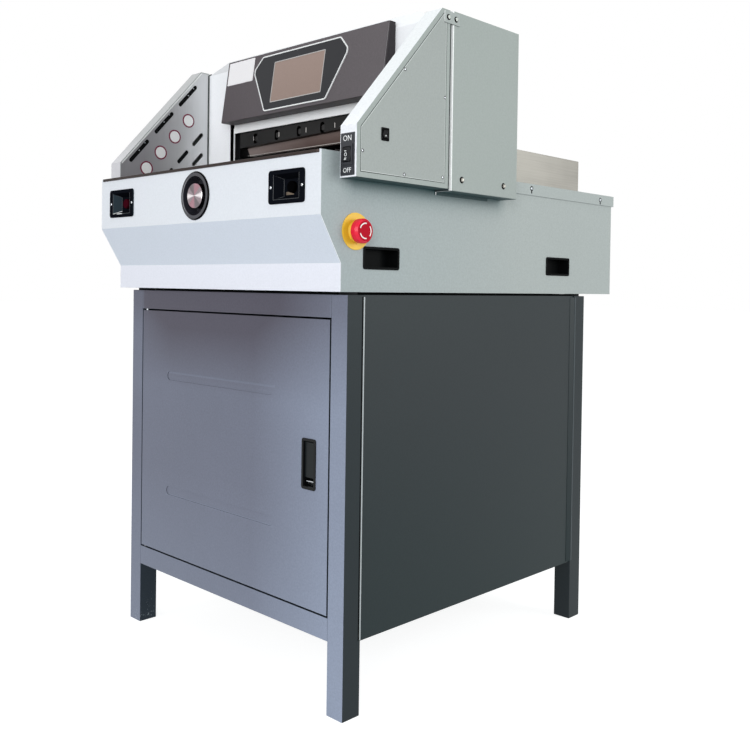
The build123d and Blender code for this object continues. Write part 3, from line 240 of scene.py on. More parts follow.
graphite, tree, coat = powder_coat("graphite_powder_coat", "#1C2529", 0.42, cloud=0.06, gloss=0.2)
at, out = sides(tree)
leg_low, leg_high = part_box("stand_legs")
leg_wide, chip_mm = 0.040, 3.4
rib_left, rib_right, upper_rib_top, lower_rib_foot = -0.1785, 0.1615, 0.5275, 0.2820
rib_ends = (at[0], rib_left - 0.001, rib_left + 0.001), (at[0], rib_right + 0.001, rib_right - 0.001)
# The painted light thins towards the top, where the body's overhang shades the stand, grows to the
# right and downwards, and is strong on the legs' upper parts and on the door's upper left. It paints a
# highlight along the upper rib's top edge and lifts the shade at the lower rib's foot.
painted_light_rows = (
    (-0.42, (at[2], 0.50, 0.66)),
    (0.36, (at[0], 0.10, 0.31)),
    (0.20, (at[2], 0.34, 0.04)),
    (0.06, (at[2], 0.46, 0.60), (at[0], leg_high.x - leg_wide - 0.003, leg_high.x - leg_wide + 0.001)),
    (0.15, (at[2], 0.46, 0.60), (at[0], leg_low.x + leg_wide + 0.004, leg_low.x + leg_wide)),
    (0.13, (at[2], 0.50, 0.62), (at[0], -0.17, -0.26)),
    (0.11, *rib_ends, (at[2], upper_rib_top - 0.004, upper_rib_top - 0.003),
     (at[2], upper_rib_top + 0.001, upper_rib_top)),
    (0.09, *rib_ends, (at[2], lower_rib_foot - 0.002, lower_rib_foot - 0.001),
     (at[2], lower_rib_foot + 0.0025, lower_rib_foot + 0.0015)),
)
painted_light = 0.3
for strength, *zones in painted_light_rows:
    row = within(tree, *zones, strength=strength)
    painted_light = add_node(tree, "ShaderNodeMath", {0: row, 1: painted_light}, operation="ADD")
front_painted_light = laid_over(tree, "#54515D", "#A2ACC2", (painted_light, 0, 1))
side_painted_light = laid_over(tree, "#1C2529", "#27323C", (out[0], 0.6, 0.9), (at[0], -0.15, -0.25))
lit_and_shaded_graphite = laid_over(tree, side_painted_light, front_painted_light, (out[1], -0.4, -0.9), (at[1], 0.12, 0.02))
left_share = add_node(tree, "ShaderNodeMapRange", {0: at[0], 1: 0.1, 2: -0.27, 3: 0.45})
foot_share = within(tree, (at[2], 0.14, 0.0), strength=0.29)
chip_share = add_node(tree, "ShaderNodeMath", {0: foot_share, 1: left_share}, operation="MULTIPLY")
place = add_node(tree, "ShaderNodeTexCoord").outputs["Object"]
chips = add_node(
    tree, "ShaderNodeTexNoise", {"Vector": place, "Scale": 1000 / chip_mm, "Detail": 4.0, "Roughness": 0.7}
)
chipped = add_node(tree, "ShaderNodeMath", {0: chips, 1: chip_share}, operation="ADD")
feed(tree, coat, {6: laid_over(tree, lit_and_shaded_graphite, "#B9C4CC", (chipped, 0.86, 0.91), strength=0.6)})
finish(["stand_legs", "stand_rails"], graphite, 0.8)
panel_coat, tree, coat = powder_coat("panel_graphite_coat", "#262D30", 0.42, cloud=0.05, gloss=0.2)
at, out = sides(tree)
# Painted shade: the panels are painted darker and greener towards the floor.
feed(tree, coat, {6: laid_over(tree, "#272E31", "#1A282A", (at[2], 0.50, 0.06))})
finish(["left_cabinet_panel", "right_cabinet_panel", "rear_cabinet_panel", "cabinet_floor"], panel_coat, 0.4)


# Pads between stand and body
# Four black rubber pads between the stand's rails and the bottom pan take up the vibration. Rubber
# is matt, with a fine moulded grain.
def shaded(colour, share):
    """An sRGB hex value in linear light, made darker or lighter by a share."""
    return tuple(min(1.0, channel * share) for channel in linear(colour)[:3]) + (1.0,)


def moulded_plastic(name, colour, roughness, gloss=0.5, grain_mm=0.9, depth=0.15):
    """Moulded plastic or rubber with the spark-eroded grain of its mould, drawn coarse enough to show."""
    made, tree, shader, place = new_material(name, {"Specular IOR Level": gloss})
    grain = add_node(tree, "ShaderNodeTexNoise", {"Vector": place, "Scale": 1000 / grain_mm, "Detail": 2.0})
    tint = laid_over(tree, shaded(colour, 0.85), colour, (grain, 0, 1))
    rough = add_node(tree, "ShaderNodeMapRange", {0: grain, 3: roughness - 0.05, 4: roughness + 0.05})
    bump = add_node(tree, "ShaderNodeBump", {"Height": grain, "Strength": depth, "Distance": 0.0001})
    feed(tree, shader, {"Base Color": tint, "Roughness": rough, "Normal": bump})
    return made


finish(["body_pads"], moulded_plastic("moulded_rubber", "#17181A", 0.8, gloss=0.2))


# Cabinet door
# A folded steel pan with two pressed ribs, in the same graphite powder coat as the stand, turning
# on two bright steel pins. Zinc plate gives the pins a soft grey mirror.
def plated_steel(name, colour, roughness):
    """Bright plated or turned steel, with the faint streaks that handling leaves."""
    streak_mm = 3.0
    made, tree, shader, place = new_material(name, {"Metallic": 1.0})
    streaks = add_node(
        tree, "ShaderNodeTexNoise", {"Vector": place, "Scale": 1000 / streak_mm, "Detail": 3.0}
    )
    tint = laid_over(tree, shaded(colour, 0.82), colour, (streaks, 0, 1))
    rough = add_node(tree, "ShaderNodeMapRange", {0: streaks, 3: roughness * 0.8, 4: roughness * 1.25})
    feed(tree, shader, {"Base Color": tint, "Roughness": rough})
    return made


zinc = plated_steel("zinc_plated_steel", "#B9BDC2", 0.28)
finish(["cabinet_door"], graphite, 0.5)
finish(["door_hinge_pins"], zinc)


# Door handle
# A black moulded cup let into the door, with a paddle that hangs from a pin and a chromed
# striker at the foot of the cup.
def span(node):
    """The lowest and the highest corner of a CAD node, in millimetres."""
    return [corner * 1000 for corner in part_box(node)]


def facing(origin, right, up):
    """Places a flat piece drawn in millimetres: its right, its up, and its thickness outwards."""
    right, up = Vector(right).normalized(), Vector(up).normalized()
    columns = [axis / 1000 for axis in (right, up, right.cross(up))]
    turn = Matrix([[column[i] for column in columns] for i in range(3)]).to_4x4()
    return Matrix.Translation(Vector(origin) / 1000) @ turn


def rounded_plate(width, height, corner, steps=5):
    """The outline of a plate with round corners, about its middle."""
    outline = []
    for quarter, (sx, sy) in enumerate(((1, 1), (-1, 1), (-1, -1), (1, -1))):
        cx, cy = sx * (width / 2 - corner), sy * (height / 2 - corner)
        for step in range(steps + 1):
            angle = pi / 2 * (quarter + step / steps)
            outline.append((cx + corner * cos(angle), cy + corner * sin(angle)))
    return outline


def add_piece(name, work, made, body, smooth=False):
    """Turns a finished bmesh into a piece that rides on a body."""
    mesh = bpy.data.meshes.new(name)
    bmesh.ops.recalc_face_normals(work, faces=work.faces)
    work.to_mesh(mesh)
    work.free()
    mesh.materials.append(made)
    mesh.polygons.foreach_set("use_smooth", [smooth] * len(mesh.polygons))
    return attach(new_object(name, mesh), body)


def slab(name, outline, thickness, place, made, body="machine", edge=0.0):
    """A flat piece cut to an outline, its front edge broken by edge millimetres.

    It rides on the machine unless another body is named, as all pieces below do."""
    work = bmesh.new()
    face = work.faces.new([work.verts.new((u, v, 0)) for u, v in outline])
    if face.normal.z < 0:
        face.normal_flip()
    raised = bmesh.ops.extrude_face_region(work, geom=[face])["geom"]
    for vert in (item for item in raised if isinstance(item, bmesh.types.BMVert)):
        vert.co.z += thickness
    if edge:
        top = [e for e in work.edges if all(abs(v.co.z - thickness) < 1e-6 for v in e.verts)]
        bmesh.ops.bevel(work, geom=top, offset=edge, segments=2, affect="EDGES", profile=0.5)
    bmesh.ops.transform(work, matrix=place, verts=work.verts)
    return add_piece(name, work, made, body)


black_abs = moulded_plastic("black_moulded_abs", "#0D0E10", 0.42, gloss=0.15)
chrome = plated_steel("chromed_steel", "#D9DCE0", 0.16)
finish(["door_handle_cup"], black_abs, 0.6)
finish(["door_latch_paddle"], moulded_plastic("black_paddle_abs", "#171B1D", 0.3, gloss=0.15), 0.5)
low, high = span("door_handle_cup")
striker_in, striker_up, striker_lean = 7.5, 10.5, -0.45
slab(
    "door_striker", rounded_plate(22, 9, 2.0), 2.2,
    facing(((low.x + high.x) / 2, low.y + striker_in, low.z + striker_up), (1, 0, 0), (0, striker_lean, 1)),
    chrome, "door", edge=0.8,
)


# Felt strips between stand and body
# Black felt lies on the top rails just inside the pads and keeps paper dust out of the cabinet; it also
# stands in for the shade in the gap between stand and body. It is the dullest and fuzziest of the blacks.
gap_shade_felt = moulded_plastic("black_gap_shade_felt", "#0C0D0E", 0.9, gloss=0.1, grain_mm=1.6, depth=0.5)
pad_low, pad_high = span("body_pads")
rail_low, rail_high = span("stand_rails")
felt_wide, felt_inset, pad_room, press_room = 12.0, 16.0, 33.0, 0.6
across, along = rail_high.x - rail_low.x - 2 * pad_room, rail_high.y - rail_low.y - 2 * pad_room
middle_x, middle_y = (rail_high.x + rail_low.x) / 2, (rail_high.y + rail_low.y) / 2
for name, wide, deep, x, y in (
    ("front", across, felt_wide, middle_x, rail_low.y + felt_inset),
    ("rear", across, felt_wide, middle_x, rail_high.y - felt_inset),
    ("left", felt_wide, along, rail_low.x + felt_inset, middle_y),
    ("right", felt_wide, along, rail_high.x - felt_inset, middle_y),
):
    slab(f"felt_strip_{name}", rounded_plate(wide, deep, 2.0), pad_high.z - pad_low.z - press_room,
         facing((x, y, pad_low.z), (1, 0, 0), (0, 1, 0)), gap_shade_felt, edge=0.8)


# Joints of the side panels
# Each panel laps the legs with folded edges: the front one carries a painted highlight beside a dark
# strip of painted shade in the gap, and the rear one rises gently to the leg and ends in a faint painted
# highlight.
def on_side(side, x, y, z, outward=1):
    """The place of a piece on the machine's right (side 1) or left (side -1), facing out or in."""
    return facing((side * x, y, z), (0, side * outward, 0), (0, 0, 1))


both_sides = ((1, "right"), (-1, "left"))
front_edge_highlight = powder_coat("front_edge_highlight_coat", "#B4B9BC", 0.42)[0]
rear_edge_highlight = powder_coat("rear_edge_highlight_coat", "#454C50", 0.42, gloss=0.2)[0]
gap_shade = powder_coat("unlit_gap_coat", "#08090A", 0.6, gloss=0.05)[0]
lap_rise, lap_run, end_room = 2.9, 12.0, 6.0
leg_low, leg_high = span("stand_legs")
for side, word in both_sides:
    low, high = span(f"{word}_cabinet_panel")
    skin = leg_high.x if side > 0 else -leg_low.x
    tall, middle_z = high.z - low.z - end_room, (high.z + low.z) / 2
    for part, wide, y, made in (
        ("front_gap", 3.0, low.y - 3.7, gap_shade),
        ("front_lap_highlight", 2.8, low.y - 0.8, front_edge_highlight),
        ("rear_line_highlight", 3.6, high.y + 4.0, rear_edge_highlight),
    ):
        slab(f"{word}_panel_{part}", rounded_plate(wide, tall, 0.5), 0.3,
             on_side(side, skin, y, middle_z), made)
    lap_middle = (side * (skin - lap_rise / 2), high.y - lap_run / 2, middle_z)
    slab(f"{word}_panel_rear_lap", rounded_plate(lap_run, tall, 0.5), 0.4,
         facing(lap_middle, (lap_rise, side * lap_run, 0), (0, 0, 1)), panel_coat)


# Front fascia, side plates, rear plate and bottom pan
# Folded sheet steel in white powder coat. The fascia is one sheet bent twice; the plates behind
# it are flat. The coat is satin, so the folds show only as a change of shade, which on the fascia is
# partly painted in.
white_coat, tree, coat = powder_coat("white_powder_coat", "#E8EAF0", 0.44, cloud=0.015, gloss=0.4, speck=0.05)
at, out = sides(tree)
# Painted light and shade: the fascia is painted lighter below its slant, and its slant, which faces down, is
# painted darker.
fascia_painted_light = laid_over(tree, "#E8EAF0", "#EDEDF6", (at[2], 0.745, 0.735))
feed(tree, coat, {6: laid_over(tree, fascia_painted_light, "#E0E6F1", (out[2], -0.2, -0.45))})
finish(["front_fascia"], white_coat, 0.5)
pale_coat = powder_coat("pale_grey_powder_coat", "#ABB1B0", 0.46, cloud=0.02, gloss=0.4)[0]
finish(["rear_plate", "bottom_pan"], pale_coat, 0.5)
side_coat, tree, coat = powder_coat("side_plate_powder_coat", "#ABB1B0", 0.46, cloud=0.02, gloss=0.4)
at, out = sides(tree)
length = laid_over(tree, "#A2ABAD", "#ABB1B0", (at[1], -0.36, 0.1))
# Painted light and shade: the plates are painted lighter towards the rear, and the covers' shade is
# painted on them, deepening quickly towards the covers' foot.
cover_end, cover_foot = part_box("rear_side_covers")[1].y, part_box("right_front_cover")[0].z
near = within(tree, (at[2], cover_foot - 0.06, cover_foot))
shade = add_node(tree, "ShaderNodeMath", {0: near, 1: 3.0}, operation="POWER")
shade_zones = (shade, 0, 1), (at[1], cover_end + 0.02, cover_end - 0.01), (at[1], -0.395, -0.36)
feed(tree, coat, {6: laid_over(tree, length, "#395A5D", *shade_zones)})
finish(["left_side_plate", "right_side_plate"], side_coat, 0.5)


# Screws in the rear plate and the rear cabinet panel
# Zinc-plated pan-head screws with a cross recess hold both plates to the folds behind them. The
# dark seat under each head is painted shade at its edge, and the cross recess is painted dark as
# shade.
def disc(radius, steps=32):
    """The outline of a disc about its middle."""
    return [(radius * cos(2 * pi * k / steps), radius * sin(2 * pi * k / steps)) for k in range(steps)]


def turned(name, profile, place, made, body="machine", steps=28):
    """A turned piece: (radius, height) points spun about its own axis."""
    work = bmesh.new()
    rings = []
    for radius, height in profile:
        if radius == 0:
            rings.append([work.verts.new((0, 0, height))])
        else:
            rings.append([work.verts.new((u, v, height)) for u, v in disc(radius, steps)])
    for a, b in zip(rings, rings[1:]):
        for k in range(steps):
            n = (k + 1) % steps
            corners = dict.fromkeys((a[k % len(a)], a[n % len(a)], b[n % len(b)], b[k % len(b)]))
            if len(corners) > 2:
                work.faces.new(list(corners))
    bmesh.ops.transform(work, matrix=place, verts=work.verts)
    return add_piece(name, work, made, body, smooth=True)


# Painted shade for recesses, slots and the rings under heads.
recess_shade = moulded_plastic("painted_recess_shade", "#0D0E10", 0.6, gloss=0.05)


def screw(name, radius, place, made, body="machine", seat=0.8):
    """A pan head whose cross recess and seat are painted shade; the seat reaches seat millimetres past it."""
    seat_low, seat_high = 0.02, 0.12
    head_shares = ((0, 1), (0.55, 0.92), (0.85, 0.62), (1, 0.15), (1, 0))
    rise, arm, half = radius * 0.5, radius * 0.5, radius * 0.13
    turned(name + "_seat", [(radius + seat, seat_low), (radius + seat, seat_high), (0, seat_high)],
           place, recess_shade, body)
    turned(name, [(radius * wide, rise * tall) for wide, tall in head_shares], place, made, body)
    cross = [(half, half), (half, arm), (-half, arm), (-half, half), (-arm, half), (-arm, -half)]
    cross += [(-u, -v) for u, v in cross]
    on_head = place @ Matrix.Translation((0, 0, rise * 0.9))
    slab(name + "_recess", cross, rise * 0.14, on_head, recess_shade, body)


for node, inset in (("rear_plate", 12), ("rear_cabinet_panel", 14)):
    low, high = span(node)
    for row, z in enumerate((low.z + inset, high.z - inset)):
        for column in range(4):
            x = low.x + inset + (high.x - low.x - inset * 2) * column / 3
            place = facing((x, high.y, z), (-1, 0, 0), (0, 0, 1))
            screw(f"{node}_screw_{row}_{column}", 3.6, place, zinc)


# Carry handles
# Four black moulded cups are pressed into the side plates, where hands take hold to lift the
# machine. Their dull skin mirrors nothing.
finish(["carry_handles"], moulded_plastic("black_cup_abs", "#0E0F10", 0.30, gloss=0.02), 0.6)


# Tables, cutting stick and rear lid
# The tables are ground steel plates that have taken on a brown tone; the stick is red nylon and
# the lid behind is a folded sheet in the body's own powder coat.
def brushed_metal(name, colour, roughness, along, line_mm=0.8, spread=0.12, metallic=1.0):
    """Metal ground or brushed in one direction. Its strokes are drawn coarse enough to show."""
    stroke_length_share, cloud_mm = 60, 120
    made, tree, shader, place = new_material(name, {"Metallic": metallic})
    scale = [1000 / line_mm] * 3
    scale["XYZ".index(along)] = 1000 / (line_mm * stroke_length_share)
    strokes = add_node(tree, "ShaderNodeVectorMath", {0: place, 1: scale}, operation="MULTIPLY")
    lines = add_node(tree, "ShaderNodeTexNoise", {"Vector": strokes, "Scale": 1.0, "Detail": 3.0})
    clouds = add_node(tree, "ShaderNodeTexNoise", {"Vector": place, "Scale": 1000 / cloud_mm, "Detail": 2.0})
    mixed = add_node(tree, "ShaderNodeMath", {0: lines, 1: clouds}, operation="ADD")
    tint = laid_over(tree, shaded(colour, 1 - spread), shaded(colour, 1 + spread), (mixed, 0.6, 1.4))
    rough = add_node(tree, "ShaderNodeMapRange", {0: lines, 3: roughness - 0.06, 4: roughness + 0.08})
    bump = add_node(tree, "ShaderNodeBump", {"Height": lines, "Strength": 0.1, "Distance": 0.0001})
    feed(tree, shader, {"Base Color": tint, "Roughness": rough, "Normal": bump})
    return made


table_steel = brushed_metal("ground_table_steel", "#3C3432", 0.45, "X", line_mm=1.2)
finish(["front_table", "rear_table"], table_steel, 0.5)
finish(["cutting_stick"], moulded_plastic("red_nylon", "#A8322C", 0.55), 0.3)
finish(["rear_lid"], pale_coat, 0.4)


# Keyhole screws of the rear lid
# The lid hooks over two zinc-plated shoulder screws on each side, through keyholes with their
# slots downwards. Each slot is a dark slab of painted shade below its screw, and each screw
# stands on a ring of painted shade.
lid_x, lid_screws = span("rear_lid")[1].x, ((121.9, 901.4), (379.6, 899.0))
keyhole_wide, keyhole_long, keyhole_drop = 3.4, 10.0, 5.2
for side, word in both_sides:
    for index, (y, z) in enumerate(lid_screws):
        slab(f"lid_screw_{word}_{index}_keyhole", rounded_plate(keyhole_wide, keyhole_long, 1.69), 0.15,
             on_side(side, lid_x, y, z - keyhole_drop), recess_shade)
        screw(f"lid_screw_{word}_{index}", 3.3, on_side(side, lid_x, y, z), zinc, seat=1.7)


# Cut button plates
# Two black moulded plates with funnel-shaped recesses, each held by two chromed screws. The left
# button is dark red, the right one black over a small brass plate. Thin painted highlights run along
# the recesses' edges, two painted white glints lie low in the left recess, and the walls of the left
# plate that face right are painted lighter.
def tinted(made, colour, *zones, blend_type="MIX"):
    """Lays a tone over a finished material, as far as the zones hold."""
    tree = made.node_tree
    shader = tree.nodes["Principled BSDF"]
    under = shader.inputs["Base Color"].links[0].from_socket
    feed(tree, shader, {"Base Color": laid_over(tree, under, colour, *zones, blend_type=blend_type)})


def on_front(x, y, z):
    """The place of a piece that faces the operator."""
    return facing((x, y, z), (1, 0, 0), (0, 0, 1))


plate_abs = moulded_plastic("black_plate_abs", "#12141A", 0.3, gloss=0.0)
at, out = sides(plate_abs.node_tree)
# Painted light: walls of the left plate that face right are painted lighter.
tinted(plate_abs, "#343F46", (out[0], 0.5, 0.7), (at[0], 0.0, -0.2))
finish(["button_plates"], plate_abs, 0.6)
finish(["left_cut_button"], moulded_plastic("dark_red_abs", "#420C18", 0.35, gloss=0.0), 0.5)
finish(["right_cut_button"], moulded_plastic("black_button_abs", "#060607", 0.25, gloss=0.0), 0.5)
low, high = span("button_plates")
plate_x, plate_y, plate_z = 258.5, low.y, (low.z + high.z) / 2
screw_reach, screw_sunk = 39.5, 0.4
for side, word in both_sides:
    for end, letter in ((-1, "a"), (1, "b")):
        screw(f"{word}_plate_screw_{letter}", 2.6,
              on_front(side * plate_x + end * screw_reach, plate_y + screw_sunk, plate_z), chrome)
mouth_half, floor_half, recess_depth, edge_lift = (32.5, 20.5), (23.5, 14.0), 16.0, 0.3
floor_y = plate_y + recess_depth
# The brass plate lies under the button, which a round notch in its upper right corner clears.
brass_x, brass_drop, half_wide, half_tall = 250.5, 9.6, 9.5, 2.6
notch_middle, notch_radius = Vector((8.0, 9.6)), 10.0
notch_start, notch_end, notch_steps = radians(-81.4), radians(-135.6), 8
brass_outline = [(-half_wide, half_tall), (-half_wide, -half_tall), (half_wide, -half_tall)]
for step in range(notch_steps + 1):
    angle = notch_start + (notch_end - notch_start) * step / notch_steps
    brass_outline.append(notch_middle + Vector((cos(angle), sin(angle))) * notch_radius)
slab("right_button_plate", brass_outline, 1.0, on_front(brass_x, floor_y, plate_z - brass_drop),
     plated_steel("worn_brass", "#86796A", 0.4), edge=0.3)
recess_edge_highlight = moulded_plastic("painted_recess_edge_highlight", "#4C5054", 0.3, gloss=0.6)
white_glint = moulded_plastic("white_glint_edge", "#FFFFFF", 0.3, gloss=0.8)
highlight_thick, glint_thick, glint_from, glint_to = 0.32, 0.95, 0.26, 0.56
for side, word in both_sides:
    x, lines = side * plate_x, []
    for sx, sz in ((-1, -1), (-1, 1), (1, -1), (1, 1)):
        mouth = Vector((x + sx * mouth_half[0], plate_y + edge_lift, plate_z + sz * mouth_half[1]))
        depth = Vector((x + sx * floor_half[0], floor_y - edge_lift, plate_z + sz * floor_half[1]))
        lines.append((mouth, depth))
    mouths, depths = zip(*lines)
    lines += [(mouths[a], mouths[b]) for a, b in ((0, 1), (0, 2), (2, 3))] + [(depths[0], depths[1])]
    glint_lines = ()
    if word == "left":
        lines.append((mouths[0].lerp(mouths[2], glint_from), mouths[0].lerp(mouths[2], glint_to)))
        glint_lines = (0, 8)
    for index, (first, last) in enumerate(lines):
        thick, made = (glint_thick, white_glint) if index in glint_lines else (highlight_thick, recess_edge_highlight)
        lying = (last - first).to_track_quat("Z", "Y").to_matrix().to_4x4() @ Matrix.Scale(0.001, 4)
        turned(f"{word}_recess_edge_{index}", [(thick, 0.0), (thick, (last - first).length)],
               Matrix.Translation(first / 1000) @ lying, made, steps=8)


# Dial
# A black moulded cup, and a knob turned from aluminium whose face is brushed in rings; the fan of
# highlights from its middle is painted into its colour. The cup's lip is dull outside and carries a
# painted glint on its left.
dial_abs = moulded_plastic("black_dial_abs", "#32323A", 0.26)
tree = dial_abs.node_tree
low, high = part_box("dial_bezel")
middle = Vector((0, 0, (low.z + high.z) / 2))
place = add_node(tree, "ShaderNodeTexCoord").outputs["Object"]
flat = add_node(tree, "ShaderNodeVectorMath", {0: place, 1: (1, 0, 1)}, operation="MULTIPLY")
reach = add_node(tree, "ShaderNodeVectorMath", {0: flat, 1: middle}, operation="DISTANCE")
rim_starts, rim_whole = 0.0412, 0.0419
tinted(dial_abs, "#3C3C40", (reach, rim_starts, rim_whole), blend_type="MULTIPLY")
dull = add_node(tree, "ShaderNodeMapRange", {0: reach, 1: rim_starts, 2: rim_whole, 3: 0.5, 4: 0.03})
feed(tree, tree.nodes["Principled BSDF"], {"Specular IOR Level": dull})
at, out = sides(tree)
# Painted glint: a pale arc on the lip's left.
tinted(dial_abs, "#A2A2A8", (at[0], -0.016, -0.030), (reach, 0.0361, 0.0365), (reach, 0.0374, 0.0370))
finish(["dial_bezel"], dial_abs, 1.1)
knob_sockets = {"Metallic": 1.0, "Roughness": 0.26, "Anisotropic": 0.85}
dial_metal, tree, shader, place = new_material("spun_aluminium", knob_sockets)
at, out = sides(tree)
low, high = span("dial_knob")
dial_z = (low.z + high.z) / 2
height = add_node(tree, "ShaderNodeMath", {0: at[2], 1: dial_z / 1000}, operation="SUBTRACT")
angle = add_node(tree, "ShaderNodeMath", {0: height, 1: at[0]}, operation="ARCTAN2")
twice = add_node(tree, "ShaderNodeMath", {0: angle, 1: 2.0}, operation="MULTIPLY")
leaning = add_node(tree, "ShaderNodeMath", {0: twice}, operation="SINE")
level = add_node(tree, "ShaderNodeMath", {0: twice}, operation="COSINE")
# Painted highlights: pink, grey and white sectors by the angle about the middle.
painted_fan_highlight = laid_over(tree, "#787074", "#AA828C", (leaning, -0.5, 0.4))
painted_fan_highlight = laid_over(tree, painted_fan_highlight, "#9C9095", (level, -0.1, 0.3))
painted_fan_highlight = laid_over(tree, painted_fan_highlight, "#F4EEF0", (level, 0.8, 1.0))
spun = add_node(tree, "ShaderNodeTangent", direction_type="RADIAL", axis="Y")
feed(tree, shader, {"Base Color": painted_fan_highlight, "Tangent": spun})
finish(["dial_knob"], dial_metal, 0.4)
face_radius, ring_pitch, groove_wide, ring_count = 22.0, 3.2, 0.8, 6
profile = [(face_radius, 0.0)]
for k in range(ring_count):
    crest = face_radius - 0.6 - ring_pitch * k
    profile += [(crest, 0.12), (crest - groove_wide, 0.02)]
turned("dial_face_rings", profile + [(0, 0.1)], on_front(0, low.y, dial_z), dial_metal, "dial", steps=64)


# Emergency stop
# A yellow legend disc with a raised collar, a black stem, and a red mushroom head. The head
# carries three white arcs that show which way it twists free.
finish(["estop_legend"], moulded_plastic("yellow_abs", "#FFCE36", 0.38, gloss=0.4), 0.4)
finish(["estop_stem"], black_abs)
mushroom_red = moulded_plastic("red_mushroom_abs", "#F5203F", 0.24, gloss=0.3)
tree = mushroom_red.node_tree
at, out = sides(tree)
# Painted shade: the head's face, which turns to the right, is painted darker than its lit sides.
face = within(tree, (out[0], 0.8, 0.97))
tinted(mushroom_red, "#CDA4B6", (face, 0, 1), blend_type="MULTIPLY")
satin = add_node(tree, "ShaderNodeMapRange", {0: face, 3: 0.3, 4: 0.02})
feed(tree, tree.nodes["Principled BSDF"], {"Specular IOR Level": satin})
finish(["estop_mushroom"], mushroom_red, 0.8)
low, high = span("estop_mushroom")
print_white = moulded_plastic("white_print", "#FFFFFF", 0.5)
arc_inner, arc_outer, arc_steps = 11.2, 13.1, 12
for k in range(3):
    angles = [radians(120 * k - 40 + 80 * step / arc_steps) for step in range(arc_steps + 1)]
    outline = [(arc_outer * cos(a), arc_outer * sin(a)) for a in angles]
    outline += [(arc_inner * cos(a), arc_inner * sin(a)) for a in reversed(angles)]
    slab(f"twist_arc_{k}", outline, 0.12, on_side(1, high.x, (low.y + high.y) / 2, (low.z + high.z) / 2),
         print_white, "estop_head")


# Side covers, hatches and links
# Folded sheet shells in pale powder coat. Each front cover is closed by a screwed hatch; chromed
# screws and dome nuts hold the rear covers and the joining plates.
def cover_paint(name, front, slope, side="#9FA6A3", underside_shade="#16393C", depth="#FFFFFF"):
    """Cover paint with painted light: lit front and slope, shaded underside and low edge, and depth as shade
    inside the rim.
    """
    made, tree, coat = powder_coat(name, side, 0.45, cloud=0.02, gloss=0.4, speck=0.09)
    at, out = sides(tree)
    reach = add_node(tree, "ShaderNodeMath", {0: at[0]}, operation="ABSOLUTE")
    forward = laid_over(tree, front, slope, (at[2], 0.95, 1.02))
    forward = laid_over(tree, forward, depth, (reach, 0.3735, 0.3715), blend_type="MULTIPLY")
    bent = laid_over(tree, side, forward, (out[1], -0.35, -0.6))
    underside, low_edge = within(tree, (out[2], -0.5, -0.8)), within(tree, (at[2], 0.871, 0.8695))
    shaded_lip_zone = add_node(tree, "ShaderNodeMath", {0: underside, 1: low_edge}, operation="MAXIMUM")
    feed(tree, coat, {6: laid_over(tree, bent, underside_shade, (shaded_lip_zone, 0, 1))})
    return made


def outline_strip(name, outline, inner, outer, thickness, place, made, body="machine"):
    """A closed strip that follows an outline, from inner to outer millimetres outside it."""
    work = bmesh.new()
    rows = []
    for k, here in enumerate(outline):
        along = (Vector(outline[(k + 1) % len(outline)]) - Vector(outline[k - 1])).normalized()
        out = Vector((along.y, -along.x))
        section = ((inner, 0), (inner, thickness), (outer, thickness), (outer, 0))
        rows.append([work.verts.new((*(Vector(here) + out * reach), height)) for reach, height in section])
    for a, b in zip(rows, rows[1:] + rows[:1]):
        for k in range(4):
            n = (k + 1) % 4
            work.faces.new([a[k], b[k], b[n], a[n]])
    bmesh.ops.transform(work, matrix=place, verts=work.verts)
    return add_piece(name, work, made, body)


# The covers' fronts and slopes are painted lit and their undersides shaded; the left cover's front and slope
# are painted darker than the right one's, as shade.
finish(["right_front_cover"], cover_paint("right_cover_powder_coat", "#F6F6FB", "#EEF0F2"), 0.4)
finish(["left_front_cover"], cover_paint("left_cover_powder_coat", "#D9D6DA", "#BFBFC0"), 0.4)
hatch_coat = powder_coat("hatch_powder_coat", "#A0A5A3", 0.46, cloud=0.02, gloss=0.4, speck=0.1)[0]
finish(["hatch_plates"], hatch_coat, 0.3)
rear_paint = cover_paint("rear_cover_powder_coat", "#FFFFFF", "#FFFFFF", depth="#4A5154")
# Painted highlight: a white rim along the rear covers' front edge, with depth painting the shade behind it.
at, out = sides(rear_paint.node_tree)
fold_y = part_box("rear_side_covers")[0].y
tinted(rear_paint, "#FFFFFF", (at[1], fold_y + 0.0028, fold_y + 0.0022), (out[1], -0.6, -0.3))
finish(["rear_side_covers"], rear_paint, 0.4)
# Painted light on the links: white front edges and a shaded underside.
link_paint = cover_paint("link_powder_coat", "#FFFFFF", "#FFFFFF", side="#A6ACAA", underside_shade="#2A3033")
finish(["cover_links"], link_paint, 0.3)
# Painted reflection: the nickel is painted bright only where it faces outwards and dark on its sides,
# and the upper screws are painted in the cooler tone of the wall.
nickel, tree, shader, place = new_material("nickel_plated_steel", {"Metallic": 1.0, "Roughness": 0.24})
at, out = sides(tree)
level = add_node(tree, "ShaderNodeMath", {0: out[0]}, operation="ABSOLUTE")
rub_mm = 2.0
rubbed = add_node(tree, "ShaderNodeTexNoise", {"Vector": place, "Scale": 1000 / rub_mm})
bright = laid_over(tree, "#97938A", "#D2D0C8", (rubbed, 0, 1))
bright = laid_over(tree, bright, "#969A96", (at[2], 1.10, 1.12))
feed(tree, shader, {"Base Color": laid_over(tree, "#24211C", bright, (level, 0.55, 0.9))})
finish(["cover_fasteners"], nickel)
